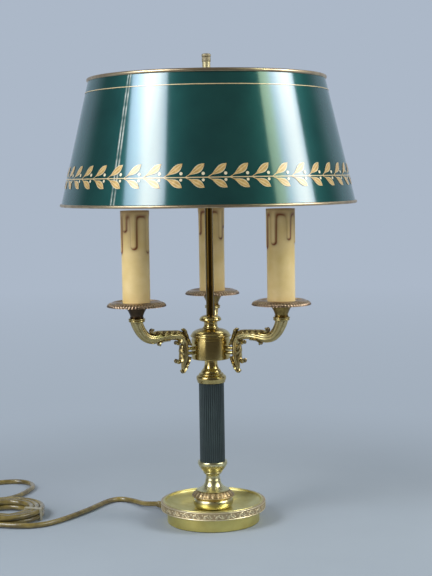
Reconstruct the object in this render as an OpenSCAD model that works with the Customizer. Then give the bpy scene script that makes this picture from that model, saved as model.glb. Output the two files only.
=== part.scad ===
// Bouillotte table lamp: a round brass tray foot, a fluted column, three cast
// scroll arms with candle lampholders, and a lacquered cone shade that slides
// and swivels on a centre rod and is held by a thumbscrew.
// Millimetres. Origin: centre of the foot's underside. +Z up, front is -Y.

/* [Foot] */
// Outer diameter of the plain drum under the tray
skirt_d = 90; // [80:1:92]
// Top of the drum above the table
skirt_h = 12.5; // [12:0.5:18]
// Gap between the drum's lower edge and the table
skirt_gap = 0.5; // [0.3:0.1:1]
// Thickness of the spun brass sheet
sheet = 1.2; // [0.8:0.1:1.5]
// Outer diameter of the cast border round the tray
border_d = 102.6; // [98:0.2:120]
// Radial thickness of the cast border
border_t = 2.6; // [2:0.1:3.5]
// Height of the cast border
border_h = 7.8; // [6:0.2:12]
// Radius of the tray's rolled lip
lip_r = 1; // [0.8:0.1:1.4]
// Thickness of the felt under the foot
felt_t = 1.5; // [1:0.1:2]

/* [Stem] */
// Outer diameter of the threaded stem tube
stem_d = 9.8; // [8:0.1:10.4]
// Wall of the stem tube
stem_wall = 1.4; // [1:0.1:1.6]
// Largest diameter of the round knop on the tray
knop_d = 39; // [34:0.5:44]
// Height of the knop
knop_h = 11; // [9:0.5:14]
// Diameter of the cast leaf collar
leaf_d = 41.4; // [36:0.2:46]
// Height of the leaf collar
leaf_h = 5.8; // [5:0.2:9]
// Number of leaves round the collar
leaf_n = 16; // [10:1:20]
// Height of the flared bell on the leaf collar
bell_h = 10.1; // [8:0.1:14]
// Height of the turned cup under the column
cup_h = 18.8; // [16:0.2:26]
// Diameter of the cup's rim
cup_d = 28.6; // [27.4:0.2:34]
// Diameter of the fluted column
column_d = 24.4; // [20:0.2:25]
// Visible length of the column
column_h = 77.2; // [40:0.2:140]
// Number of flutes round the column
flutes = 36; // [24:1:44]
// Depth that the column sits in the cup and in the bell above it
column_seat = 1.4; // [0.8:0.1:2]
// Height of the turned bell on top of the column
capital_h = 23.1; // [20:0.1:30]
// Largest diameter of that bell
capital_d = 29; // [28:0.2:33]

/* [Hub] */
// Diameter of the drum that carries the arms
drum_d = 37.5; // [35:0.5:44]
// Height of the drum
drum_h = 21.5; // [20:0.5:28]
// Wall of the drum
drum_wall = 1.8; // [1.4:0.1:2.2]
// Diameter of the domed cap on the drum
cap_d = 39.4; // [38:0.2:46]
// Height of the domed cap
cap_h = 8.6; // [7:0.2:12]
// Height of the turned rod socket above the cap
socket_h = 12.2; // [10:0.2:18]
// Diameter of the bead on the rod socket
bead_d = 21.4; // [17:0.2:26]

/* [Arms] */
// Distance of the candles from the column's axis
arm_reach = 78; // [76:1:94]
// Height of the arm's cup face above the middle of the lugs
arm_rise = 35; // [33:0.5:46]
// Turn of the three arms about the column
arm_turn = -1.5; // [-30:0.5:30]
// Diameter of the ring on the end of each arm
arm_ring_d = 15.8; // [14:0.2:20]
// Diameter of the two lugs that hold each arm
lug_d = 2.9; // [2:0.1:3.2]
// Distance between the two lugs
lug_gap = 4.5; // [4:0.1:6]

/* [Candles] */
// Height of the funnel from the arm to the middle of each drip pan
funnel_h = 13.5; // [11:0.5:18]
// Diameter of the drip pans
pan_d = 56; // [46:0.5:64]
// Number of beads round each pan
pan_beads = 56; // [44:1:64]
// Outer diameter of the candle sleeves
sleeve_d = 27; // [26:0.1:30]
// Height of the candle sleeves
sleeve_h = 86; // [70:1:110]
// Wall of the candle sleeves
sleeve_wall = 1.2; // [0.8:0.1:1.4]
// Inner diameter of the lampholders' screw shell (E14 lamps)
shell_d = 14.1; // [13.9:0.1:14.6]
// Diameter of the threaded nipple through pan, funnel and arm
nipple_d = 7.8; // [6:0.1:8.2]

/* [Shade] */
// Diameter of the cone's lower edge
shade_d = 280; // [236:2:336]
// Diameter of the cone's upper edge
shade_top_d = 224; // [200:2:268]
// Height of the cone
shade_h = 117; // [100:1:150]
// Height of the cone's lower edge above the candle sleeves
shade_lift = 5.1; // [4.4:0.1:40]
// Thickness of the cone's sheet
shade_t = 0.8; // [0.6:0.1:1.2]
// Diameter of the rolled bead on the lower edge
hem_d = 2.8; // [2.4:0.1:4]
// Diameter of the rolled bead on the upper edge
crown_d = 3.4; // [2.4:0.1:5]
// Depth of the spider below the upper edge
spider_drop = 11; // [8:0.5:20]
// Diameter of the spider's three arms
spider_d = 4; // [3:0.2:5]

/* [Rod] */
// Diameter of the centre rod
rod_d = 7.6; // [6:0.1:8.4]
// Height of the rod's tip above the shade's upper edge
rod_over = 24.7; // [17:0.1:40]
// Diameter of the small cap on the rod
tip_d = 8.8; // [8.6:0.1:11]
// Radial clearance of the sliding collar on the rod
slide_fit = 0.05; // [0.02:0.01:0.1]
// Diameter of the sliding collar
collar_d = 15; // [14:0.5:20]
// Height of the sliding collar below the spider
collar_h = 16; // [15:0.5:20]

/* [Cord] */
// Diameter of the mains cord
cord_d = 5.3; // [4.8:0.1:5.8]
// Direction in which the cord leaves the foot
cord_turn = 145; // [140:1:150]
// Length of the strain relief outside the foot
relief_l = 24; // [20:1:26]

/* [Hidden] */
$fn = 72;
face = 0.05;                      // clearance of round pieces that fit in each other

// Foot levels and radii
skirt_r = skirt_d / 2;
border_r = border_d / 2;
tray_r = border_r - border_t;     // outside of the tray's wall
border_z = skirt_h + 0.4;
lip_z = border_z + border_h - 0.3;
cove_r = 30;                      // where the tray's floor begins to rise
tray_z = skirt_h + sheet;         // the tray's floor, where the stem stands
flange_w = 6;                     // inward flange on top of the drum
web_t = 2;                        // weight left above the foot nut
nut_t = 3;
nut_af = 14;
foot_nut_z = skirt_h - web_t - nut_t;

// Stem levels
bore_r = stem_d / 2 + 0.1;
knop_z = tray_z;
leaf_z = knop_z + knop_h;
bell_z = leaf_z + leaf_h;
cup_z = bell_z + bell_h;
column_z = cup_z + cup_h;         // lower end of the visible column
capital_z = column_z + column_h;
drum_z = capital_z + capital_h;
drum_r = drum_d / 2;
cap_z = drum_z + drum_h;
socket_z = cap_z + cap_h;
stem_top = socket_z + 1.5;
rod_seat = socket_z + 2;
neck_r = 6.7;                     // the turned necks of the stem

// Arms and candles
lug_z = drum_z + 9.2;             // half way between the two lugs
ring_top = lug_z + arm_rise;      // face that the funnel stands on
ring_h = 3;
pan_z = ring_top + funnel_h;
pan_t = 1.1;
pan_lift = 1.9;                   // ridge of the pan above the underside of its middle
pan_drop = 2.2;                   // edge of the pan below that underside
pan_slope = 6.5;                  // width of the beaded slope outside the ridge
sleeve_z = pan_z + pan_t + face;
sleeve_top = sleeve_z + sleeve_h;
holder_r = sleeve_d / 2 - sleeve_wall - 0.4;
holder_top = sleeve_top - 4;
shell_depth = 24;
shell_t = 0.6;
contact_drop = 3.2;               // recess of the middle contact
ARMS = [["left", 210], ["right", 330], ["back", 90]];

// Shade and rod
shade_z = sleeve_top + shade_lift;
shade_top = shade_z + shade_h;
shade_r = shade_d / 2;
shade_top_r = shade_top_d / 2;
slant = norm([shade_r - shade_top_r, shade_h]) / shade_h;   // level width over square width of the sheet
rim_gap = 0.1047;                 // clearance of the spider's ring from the cone
spider_z = shade_top - spider_drop;
rod_top = shade_top + rod_over;
neck_fit_r = rod_d / 2 + 1.5;     // neck of the collar that the spider turns on
spider_hub_r = neck_fit_r + 3.4;
spider_hub_h = 3.6;
collar_top = spider_z - spider_hub_h / 2 - 0.2;
wing_r = 4.2;                     // the thumbscrew's wings
screw_z = collar_top - collar_h * 0.6;
function cone_r(z) = shade_r + (shade_top_r - shade_r) * (z - shade_z) / shade_h;

// Cord: route points on the table, chosen along the real lie of the lead
cord_r = cord_d / 2;
relief_z = 6.5;
relief_r = 4.8;
tie_t = 0.8;
coil_x = -207;
coil_y = 22;
coil_mid = 31;
ROUTE = [[-59.7, 41.8, 6.1], [-65.5, 46.8, 4.9], [-71.5, 54, 3.6], [-77.5, 62, 2.9],
  [-84, 69, 2.7], [-91, 74, 2.7], [-98, 75.5, 2.7], [-105, 72, 2.7], [-111.5, 64, 2.7],
  [-117, 53.5, 2.7], [-123, 41.5, 2.7], [-130, 29, 2.7], [-138, 16, 2.7], [-146, 4, 2.7],
  [-154, -6.5, 2.7], [-163, -14.5, 2.7], [-174, -19.5, 2.8], [-187, -20.5, 3.1],
  [-200, -18, 3.4], [-213.3, -13.7, 3.45]];
TAIL = [[-238.4, 40.2, 8.75], [-231, 53.5, 8.2], [-223, 67, 5.9], [-214, 81, 3.6],
  [-205.5, 97, 2.75], [-199, 115, 2.7], [-196, 132, 2.7], [-200, 147, 2.7],
  [-211, 157, 2.7], [-226, 159, 2.7], [-241, 152, 2.8], [-252, 138, 3.6],
  [-259, 123, 5.6], [-262, 109, 7.6], [-262.5, 98, 8]];
switch_x = -262.5;
switch_y = 69;                    // middle of the in-line switch
switch_l = 58;
switch_w = 23;
switch_h = 16;
switch_axis_z = 8;
rocker_z = switch_h - 5;          // pin that the rocker turns on
plug_y = 20;                      // back of the plug, where the lead goes in
plug_l = 35;
plug_w = 34;
plug_h = 13.7;
rocker_tilt = 12;

// A ring of the section between two radii and two levels
module ring(r0, r1, z0, z1) {
  translate([0, 0, z0])
    difference() {
      cylinder(r = r1, h = z1 - z0);
      translate([0, 0, -1]) cylinder(r = r0, h = z1 - z0 + 2);
    }
}

// A turned piece from its outline, with the stem's bore through it
module turned(outline, bore) {
  rotate_extrude()
    difference() {
      polygon(outline);
      translate([-50, -50]) square([50 + bore, 600]);
    }
}

module hex_nut(af, h, bore) {
  difference() {
    cylinder(d = af / cos(30), h = h, $fn = 6);
    translate([0, 0, -1]) cylinder(r = bore, h = h + 2, $fn = 48);
  }
}

// Points of a circular arc, for outlines
function arc(cx, cy, rx, ry, a0, a1, n) =
  [for (i = [0:n]) let (a = a0 + (a1 - a0) * i / n) [cx + rx * cos(a), cy + ry * sin(a)]];

// Sweep of an oval section along points in space: sections holds a
// [half height, half width] for each point, and side is the level direction
function unit(v) = v / norm(v);
function along(p, i) =
  unit(p[min(i + 1, len(p) - 1)] - p[max(i - 1, 0)]);
function level(t) = norm([t.x, t.y]) < 0.02 ? [1, 0, 0] : unit([-t.y, t.x, 0]);
module sweep(points, sections, sides, side = undef) {
  rings = [for (i = [0:len(points) - 1])
    let (t = along(points, i), s = is_undef(side) ? level(t) : side, u = unit(cross(t, s)))
    for (k = [0:sides - 1])
      let (a = 360 * (k + 0.5) / sides)
      points[i] + sections[i][1] * cos(a) * s + sections[i][0] * sin(a) * u];
  last = len(points) - 1;
  polyhedron(rings, concat(
    [[for (k = [0:sides - 1]) k]],
    [for (i = [0:last - 1], k = [0:sides - 1])
      let (a = i * sides + k, b = i * sides + (k + 1) % sides)
      [a, a + sides, b + sides, b]],
    [[for (k = [0:sides - 1]) last * sides + sides - 1 - k]]), convexity = 6);
}

// ---- Foot ----

module felt_pad() {
  color("#2f4a3a") cylinder(r = skirt_r - sheet - 0.3, h = felt_t);
}

module base_weight() {
  low_r = skirt_r - sheet - 0.6;
  color("#4a4a48")
    difference() {
      union() {
        translate([0, 0, felt_t]) cylinder(r = low_r, h = skirt_h - sheet - felt_t);
        cylinder(r = skirt_r - flange_w - 1, h = skirt_h);
      }
      translate([0, 0, -1]) cylinder(r = low_r + 1, h = felt_t + 1);
      translate([0, 0, -1]) cylinder(r = bore_r, h = skirt_h + 2);
      translate([0, 0, -1]) cylinder(r = nut_af * 0.8, h = skirt_h - web_t + 1);
      rotate(cord_turn) translate([0, -5.2, -1]) cube([skirt_r, 10.4, relief_z + 6]);
    }
}

module base_skirt() {
  color("#b3a55c")
    difference() {
      union() {
        ring(skirt_r - sheet, skirt_r, skirt_gap, skirt_h);
        ring(skirt_r - flange_w, skirt_r - sheet / 2, skirt_h - sheet, skirt_h);
      }
      rotate(cord_turn) translate([skirt_r - 10, 0, relief_z]) rotate([0, 90, 0])
        cylinder(r = 4, h = 20);
    }
}

module base_tray() {
  inner = tray_r - 2 * lip_r;
  rise = lip_z - 0.6 - tray_z;
  dish = [for (i = [0:8]) let (t = i / 8)
    [cove_r + (inner - cove_r) * t, tray_z + rise * pow(t, 2.6)]];
  color("#b3a55c") {
    rotate_extrude() polygon(concat([[bore_r, tray_z], [bore_r, skirt_h], [tray_r, skirt_h],
      [tray_r, lip_z], [inner + 0.4, lip_z]], [for (i = [8:-1:0]) dish[i]]));
    rotate_extrude() translate([tray_r - lip_r, lip_z]) circle(r = lip_r);
  }
}

module base_border() {
  mid = border_h / 2;
  color("#b89d6a")
    rotate_extrude() translate([0, border_z])
      polygon([[tray_r + face, 0], [border_r - 0.9, 0], [border_r, 0.5], [border_r, 1.2],
        [border_r - 0.6, 1.6], [border_r - 0.6, border_h - 1.6], [border_r, border_h - 1.2],
        [border_r, border_h - 0.5], [border_r - 0.9, border_h - face],
        [tray_r + face, border_h - face]]);
}

module strain_relief() {
  start = skirt_r - sheet;
  color("#8a7a45")
    rotate(cord_turn) translate([start, 0, relief_z]) rotate([0, 90, 0])
      rotate_extrude()
        polygon([[cord_r + face, -2], [relief_r, -2], [relief_r, -0.4],
          [3.9, -0.4], [3.9, sheet + face], [relief_r, sheet + face],
          [relief_r, sheet + 3], [cord_r + 0.6, sheet + relief_l],
          [cord_r + face, sheet + relief_l]]);
}

// ---- Stem ----

module foot_knop() {
  r = knop_d / 2;
  z = knop_z;
  color("#b9a95c") turned(concat([[0, z]], [[r - 4.5, z]],
    arc(r - 4.6, z + knop_h * 0.5, 4.6, knop_h * 0.5, -80, 70, 10),
    [[r - 2.5, z + knop_h], [0, z + knop_h]]), bore_r);
}

module leaf_collar() {
  r = leaf_d / 2;
  h = leaf_h;
  lobe = PI * leaf_d / leaf_n / 2;
  color("#b08c68")
    intersection() {
      turned([[0, leaf_z], [r - 0.6, leaf_z], [r, leaf_z + 0.5], [r, leaf_z + 1.5],
        [r - 0.8, leaf_z + h * 0.36], [r - 2.2, leaf_z + h * 0.68], [r - 3.9, leaf_z + h * 0.94],
        [r - 4.5, leaf_z + h], [0, leaf_z + h]], bore_r);
      union() {
        translate([0, 0, leaf_z]) cylinder(r = r, h = 1.6);
        linear_extrude(leaf_z + h)
          union() {
            circle(r = r - lobe * 0.6);
            for (i = [0:leaf_n - 1])
              rotate(360 * i / leaf_n) translate([r - lobe, 0]) circle(r = lobe, $fn = 32);
          }
      }
    }
}

module foot_bell() {
  z = bell_z;
  h = bell_h;
  r = leaf_d / 2 - 4.6;
  color("#b9a95c") turned([[0, z], [r - 0.4, z], [r, z + 0.4], [r - 0.1, z + 0.8],
    [r - 3, z + h * 0.2], [r - 6, z + h * 0.42], [r - 7.8, z + h * 0.67],
    [neck_r + 0.7, z + h * 0.9], [neck_r + 0.6, z + h], [0, z + h]], bore_r);
}

module lower_cup() {
  z = cup_z;
  r = cup_d / 2;
  h = cup_h;
  color("#b9a95c")
    difference() {
      turned(concat([[0, z], [neck_r + 0.6, z], [neck_r + 0.6, z + 0.8], [neck_r, z + 1.6],
        [neck_r, z + 3.6], [neck_r + 0.6, z + 5.6]],
        arc(neck_r + 1.3, z + h * 0.4, 1.5, 1.2, -70, 80, 6),
        [[neck_r + 2.7, z + h * 0.49], [r - 2.6, z + h * 0.57], [r - 0.9, z + h * 0.71],
        [r, z + h * 0.78], [r, z + h - 0.6], [r - 0.5, z + h], [0, z + h]]), bore_r);
      translate([0, 0, z + h - column_seat]) cylinder(r = column_d / 2 + face, h = 10);
    }
}

module column_sleeve() {
  r = column_d / 2;
  flute_r = PI * column_d / flutes * 0.36;
  color("#36403f")
    difference() {
      translate([0, 0, column_z - column_seat])
        linear_extrude(column_h + 2 * column_seat)
          difference() {
            circle(r = r);
            for (i = [0:flutes - 1])
              rotate(360 * (i + 0.5) / flutes) translate([r + flute_r * 0.35, 0])
                circle(r = flute_r, $fn = 16);
          }
      translate([0, 0, column_z - 5]) cylinder(r = r - 3.5, h = column_h + 10);
    }
}

module upper_bell() {
  z = capital_z;
  h = capital_h;
  r = capital_d / 2;
  color("#b08e58")
    difference() {
      turned(concat([[0, z], [r - 1.1, z], [r - 0.7, z + 1.2]],
        arc(r - 2.3, z + 4.3, 2.3, 2.9, -55, 70, 8), [[r - 2.6, z + 7.4]],
        arc(r - 3.7, z + 8.3, 1.2, 0.9, -50, 80, 5),
        [[r - 4.6, z + 9.5], [r - 4.6, z + 10.4], [r - 5.5, z + 12], [r - 6.8, z + 13.4],
        [r - 7.6, z + 15.2], [neck_r - 0.2, z + 17], [neck_r - 0.4, z + 19],
        [neck_r - 0.4, z + h - 1.6], [neck_r + 0.5, z + h - 1], [neck_r + 0.5, z + h],
        [0, z + h]]), bore_r);
      translate([0, 0, z - 5]) cylinder(r = column_d / 2 + face, h = 5 + column_seat);
    }
}

module stem_tube() {
  color("#8f8350")
    difference() {
      translate([0, 0, foot_nut_z]) cylinder(d = stem_d, h = stem_top - foot_nut_z);
      translate([0, 0, -1]) cylinder(r = stem_d / 2 - stem_wall, h = stem_top + 2);
      translate([0, 0, drum_z + 7]) rotate([90, 0, 0]) cylinder(r = 2.6, h = stem_d);
    }
}

module stem_nuts() {
  color("#9a9a94") {
    translate([0, 0, foot_nut_z]) hex_nut(nut_af, nut_t, stem_d / 2 + face);
    translate([0, 0, drum_z + drum_wall]) hex_nut(nut_af, nut_t, stem_d / 2 + face);
  }
}

// ---- Hub ----

module lug_holes(r) {
  for (a = ARMS, s = [-1, 1])
    rotate(a[1] + arm_turn) translate([0, 0, lug_z + s * lug_gap / 2]) rotate([0, 90, 0])
      cylinder(r = r, h = drum_r + 5, $fn = 32);
}

module hub_drum() {
  r = drum_r;
  color("#a08a4c")
    difference() {
      turned([[0, drum_z], [r - 1, drum_z], [r, drum_z + 0.8], [r, drum_z + drum_h - 2.4],
        [r - 0.5, drum_z + drum_h - 2.2], [r - 0.5, drum_z + drum_h],
        [r - drum_wall, drum_z + drum_h], [r - drum_wall, drum_z + drum_wall],
        [0, drum_z + drum_wall]], bore_r);
      lug_holes(lug_d / 2 + face);
    }
}

module hub_cap() {
  z = cap_z;
  r = cap_d / 2;
  h = cap_h;
  inner = drum_r - drum_wall - face;
  color("#a08a4c")
    difference() {
      turned([[0, z], [r - 0.4, z], [r, z + 0.5], [r, z + 1.5], [r - 0.4, z + 2.4],
        [r - 1.9, z + 3.3], [r - 3, z + 4.6], [r - 4.9, z + 6.1], [r - 8, z + 7.4],
        [neck_r + 3, z + 8.1], [neck_r + 1.2, z + h], [0, z + h]], bore_r);
      turned([[0, z - 1], [inner, z - 1], [inner, z + 1], [inner - 6, z + h - 3.6],
        [0, z + h - 3.6]], 0);
    }
}

module hub_terminal() {
  color("#e6e2d2")
    translate([-8, -14.2, drum_z + drum_wall])
      difference() {
        cube([16, 6.6, 12]);
        for (x = [3.5, 8, 12.5]) translate([x, 3.3, 7]) cylinder(d = 2.6, h = 6, $fn = 24);
      }
}

// The lead inside the foot and up the stem tube
module inner_lead() {
  low = cord_r + felt_t + 0.4;
  color("#8a7a45")
    rotate(cord_turn)
      sweep([[skirt_r + relief_l, 0, relief_z], [skirt_r - 8, 0, relief_z],
        [skirt_r - 16, 0, low],
        [12, 0, low], [5, 0, low + 0.1], [1.4, 0, low + 0.8], [0.1, 0, low + 2.8],
        [0, 0, low + 8], [0, 0, drum_z + 5]], [for (i = [0:8]) [cord_r, cord_r]], 10,
        [0, 1, 0]);
}

module rod_socket() {
  z = socket_z;
  h = socket_h;
  r = bead_d / 2;
  color("#a8935a")
    difference() {
      turned([[0, z], [neck_r + 0.9, z], [neck_r - 0.1, z + 1.2], [neck_r - 0.5, z + 3.2],
        [neck_r - 0.4, z + h * 0.43], [neck_r + 0.2, z + h * 0.48], [r - 1.3, z + h * 0.52],
        [r - 0.1, z + h * 0.59], [r, z + h * 0.67], [r - 1.1, z + h * 0.82],
        [r - 3.4, z + h * 0.93], [rod_d / 2 + 1.2, z + h], [0, z + h]], rod_d / 2 + face);
      translate([0, 0, z - 1]) cylinder(r = bore_r, h = stem_top + face - z + 1);
    }
}

module centre_rod() {
  color("#b7a14f") translate([0, 0, rod_seat]) cylinder(d = rod_d, h = rod_top - 6 - rod_seat);
}

module rod_cap() {
  z = rod_top - 8;
  r = tip_d / 2;
  color("#b7a14f")
    difference() {
      turned(concat([[0, z], [r, z], [r, z + 3.4], [r - 0.5, z + 3.7], [r - 0.5, z + 4.3],
        [r, z + 4.6], [r, z + 6]], arc(0, z + 6, r, 2, 10, 90, 6)), 0);
      translate([0, 0, z - 1]) cylinder(r = rod_d / 2 + face, h = 3);
    }
}

// ---- Arms: cast S-scrolls with leaves, set out in the plane of each arm ----

// Points of the scroll from the ring to the tail: distance outwards from the
// bracket, height above the lugs, half height and half width of the section
ARM_LINE = [[1, 0.97, 5.7, 5.7], [0.998, 0.88, 5.6, 5.6], [0.968, 0.76, 5.3, 5.3],
  [0.903, 0.6, 4.9, 4.8], [0.805, 0.465, 4.5, 4.4], [0.675, 0.41, 4.4, 4.3],
  [0.54, 0.45, 4.1, 4.1], [0.4, 0.495, 4, 4.4], [0.28, 0.5, 4, 4.3],
  [0.16, 0.47, 3.9, 3.8], [0.056, 0.38, 3.8, 3.5], [0.006, 0.24, 3.4, 3.3],
  [-0.004, 0.06, 3.3, 3.7], [-0.004, -0.1, 3.2, 3.6], [0.01, -0.27, 2.7, 3],
  [0.03, -0.43, 1.9, 2], [0.036, -0.523, 1.2, 1.2]];
bracket_r = 28.4;                 // distance of the bracket from the column's axis
span = arm_reach - bracket_r;
function arm_at(p) = [bracket_r + p[0] * span, 0, lug_z + p[1] * arm_rise];
// Smooth points between the ones above
function blend(a, b, c, d, t) = 0.5 * (2 * b + (c - a) * t
  + (2 * a - 5 * b + 4 * c - d) * t * t + (3 * b - a - 3 * c + d) * t * t * t);
function smooth(p, steps) = concat([for (i = [0:len(p) - 2], k = [0:steps - 1])
  blend(p[max(i - 1, 0)], p[i], p[i + 1], p[min(i + 2, len(p) - 1)], k / steps)],
  [p[len(p) - 1]]);

// Leaf tips that curl off the scroll: chains of [out, up, radius]
TIPS = [
  [[0.5, 0.53, 3.4], [0.61, 0.57, 2.4], [0.695, 0.6, 2]],
  [[0.526, 0.41, 2.8], [0.526, 0.33, 1.9], [0.52, 0.28, 1.1]],
  [[-0.1, 0.16, 2], [-0.05, 0.37, 2.4], [0.02, 0.55, 1.7]],
  [[0.09, 0.37, 3], [0.13, 0.3, 1.8], [0.14, 0.26, 1]],
  [[0.04, -0.14, 2.6], [0.09, -0.21, 1.9], [0.145, -0.245, 1.3]],
  [[-0.09, -0.2, 1.6], [-0.045, -0.35, 1.8], [0.03, -0.52, 1.2]]];

module leaf_tip(chain) {
  for (i = [0:len(chain) - 2])
    hull()
      for (k = [0, 1])
        translate(arm_at(chain[i + k])) scale([1, k == i ? 1 : 1.15, 1])
          sphere(r = chain[i + k][2], $fn = 14);
}

module arm(angle) {
  line = smooth(ARM_LINE, 2);
  color("#a08a4c")
    rotate(angle + arm_turn)
      difference() {
        union() {
          sweep([for (p = line) arm_at(p)], [for (p = line) [p[2], p[3]]], 16, [0, 1, 0]);
          for (t = TIPS) leaf_tip(t);
          for (s = [-1, 1])
            translate([drum_r - drum_wall - 3, 0, lug_z + s * lug_gap / 2])
              rotate([0, 90, 0])
                cylinder(d = lug_d, h = bracket_r - drum_r + drum_wall + 3, $fn = 20);
          translate([arm_reach, 0, ring_top - ring_h])
            rotate_extrude($fn = 40) polygon([[0, 0], [arm_ring_d / 2 - 1.4, 0],
              [arm_ring_d / 2, 1], [arm_ring_d / 2, ring_h - 0.8],
              [arm_ring_d / 2 - 0.8, ring_h], [0, ring_h]]);
        }
        translate([arm_reach, 0, ring_top - 6]) cylinder(d = nipple_d + 0.2, h = 10, $fn = 32);
      }
}

module arm_bar_nuts() {
  t = 2.2;
  seat = drum_r - drum_wall - 0.3;
  color("#8a8a84")
    for (a = ARMS)
      rotate(a[1] + arm_turn)
        difference() {
          translate([seat - t, -2.5, lug_z - lug_gap / 2 - 3]) cube([t, 5, lug_gap + 6]);
          for (s = [-1, 1])
            translate([0, 0, lug_z + s * lug_gap / 2]) rotate([0, 90, 0])
              cylinder(r = lug_d / 2 + face, h = drum_r, $fn = 32);
        }
}

// ---- Candles ----

module at_candle(angle) {
  rotate(angle + arm_turn) translate([arm_reach, 0, 0]) rotate(-angle - arm_turn) children();
}

module arm_nipples() {
  color("#9a9a94")
    for (a = ARMS)
      at_candle(a[1]) ring(nipple_d / 2 - 1.4, nipple_d / 2, ring_top - 5.5, pan_z + pan_t + 9);
}

module candle_cup(angle) {
  z = ring_top;
  h = funnel_h;
  color("#4d4236") at_candle(angle)
    turned([[0, z], [6.3, z], [6.6, z + 0.9], [6.1, z + 1.6], [7, z + h * 0.34],
      [8.8, z + h * 0.6], [9.5, z + h * 0.7], [10.2, z + h * 0.87], [10.2, z + h], [0, z + h]],
      nipple_d / 2 + 0.1);
}

module drip_pan(angle) {
  r = pan_d / 2;
  ridge = r - pan_slope;
  bead = PI * pan_d / pan_beads / 2;
  flat = sleeve_d / 2 + 0.6;
  z = pan_z;
  t = pan_t;
  top = z + pan_lift;
  color("#8d7566") at_candle(angle)
    intersection() {
      turned([[0, z], [ridge - 1, z], [ridge + 0.8, z - 0.2], [r - 1, z - pan_drop + 0.1],
        [r, z - pan_drop], [r, z - pan_drop + 0.7], [r - 0.8, z - pan_drop + 1.5],
        [ridge + 1.1, top - 0.3], [ridge, top], [ridge - 0.9, top - 0.2],
        [ridge - 3, z + t + 0.2], [flat, z + t], [0, z + t]], nipple_d / 2 + 0.1);
      linear_extrude(top + 1)
        union() {
          circle(r = r - bead * 0.8);
          for (i = [0:pan_beads - 1])
            rotate(360 * i / pan_beads) translate([r - bead, 0]) circle(r = bead, $fn = 20);
        }
    }
}

// Insulating lampholder: a foot on the nipple, a stalk and the body round the shell
module lampholder(angle) {
  z = pan_z + pan_t;
  r = holder_r;
  bowl = holder_top - shell_depth - 4;
  color("#e4dcc4") at_candle(angle)
    difference() {
      rotate_extrude()
        polygon([[0, z], [r, z], [r, z + 3], [7, z + 6], [7, bowl - 8], [r, bowl],
          [r, holder_top - 1], [r - 1, holder_top], [0, holder_top]]);
      translate([0, 0, z - 1]) cylinder(d = nipple_d + 0.2, h = 11);
      translate([0, 0, holder_top - shell_depth])
        cylinder(r = shell_d / 2 + shell_t + 0.1, h = shell_depth + 1);
      translate([0, 0, holder_top - shell_depth - contact_drop]) cylinder(r = 5, h = shell_depth);
    }
}

module screw_shell(angle) {
  floor_z = holder_top - shell_depth;
  color("#b9a95c") at_candle(angle) {
    ring(shell_d / 2, shell_d / 2 + shell_t, floor_z, holder_top - 2);
    translate([0, 0, floor_z - contact_drop]) cylinder(r1 = 4, r2 = 2.4, h = contact_drop - 0.6);
  }
}

module candle_sleeve(angle) {
  color("#d6c489") at_candle(angle)
    ring(sleeve_d / 2 - sleeve_wall, sleeve_d / 2, sleeve_z, sleeve_top);
}

// ---- Shade ----

module cone_section(extra) {
  polygon([[cone_r(shade_z) - shade_t / 2 - extra, shade_z],
    [cone_r(shade_z) + shade_t / 2 + extra, shade_z],
    [cone_r(shade_top) + shade_t / 2 + extra, shade_top],
    [cone_r(shade_top) - shade_t / 2 - extra, shade_top]]);
}

module shade_cone() {
  color("#24483f") rotate_extrude($fn = 120) cone_section(0);
}

// Rolled brass beads with the slit that holds the sheet's edge
module edge_bead(r, z, d) {
  rotate_extrude($fn = 120)
    difference() {
      translate([r, z]) circle(d = d, $fn = 40);
      cone_section(0.02);
    }
}

module shade_crown_bead() {
  color("#b89d6a") edge_bead(cone_r(shade_top), shade_top, crown_d);
}

module shade_hem_bead() {
  color("#b89d6a") edge_bead(cone_r(shade_z), shade_z, hem_d);
}

module spider() {
  wire = spider_d / 2;
  rim_r = cone_r(spider_z) - shade_t / 2 - (wire * 0.75 + rim_gap) * slant;
  color("#a8935a") {
    ring(neck_fit_r + slide_fit, spider_hub_r, spider_z - spider_hub_h / 2,
      spider_z + spider_hub_h / 2);
    for (a = [30, 150, 270])
      rotate(a) translate([spider_hub_r - 1, 0, spider_z]) rotate([0, 90, 0])
        cylinder(r = wire * 0.8, h = rim_r - spider_hub_r + 1);
    rotate_extrude() translate([rim_r, spider_z]) circle(r = wire * 0.75, $fn = 32);
  }
}

module slide_collar() {
  r = collar_d / 2;
  z = collar_top - collar_h;
  color("#a8935a")
    difference() {
      turned([[0, z], [r - 1, z], [r, z + 0.8], [r, z + 2], [r - 0.7, z + 2.6],
        [r - 0.7, collar_top - 1.6], [r, collar_top - 1], [r, collar_top],
        [neck_fit_r, collar_top], [neck_fit_r, collar_top + spider_hub_h + 3.4],
        [0, collar_top + spider_hub_h + 3.4]], rod_d / 2 + slide_fit);
      translate([0, 0, screw_z]) rotate([0, 90, 0]) cylinder(r = 2.05, h = 20, $fn = 32);
    }
}

module collar_nut() {
  z = collar_top + spider_hub_h + 0.4;
  color("#a8935a") difference() {
    union() {
      translate([0, 0, z]) cylinder(r = spider_hub_r - 0.4, h = 2.4);
      translate([0, 0, z + 2.4]) cylinder(r1 = spider_hub_r - 0.4, r2 = spider_hub_r - 1.2, h = 0.6);
    }
    translate([0, 0, z - 1]) cylinder(r = neck_fit_r + face, h = 6);
  }
}

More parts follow.
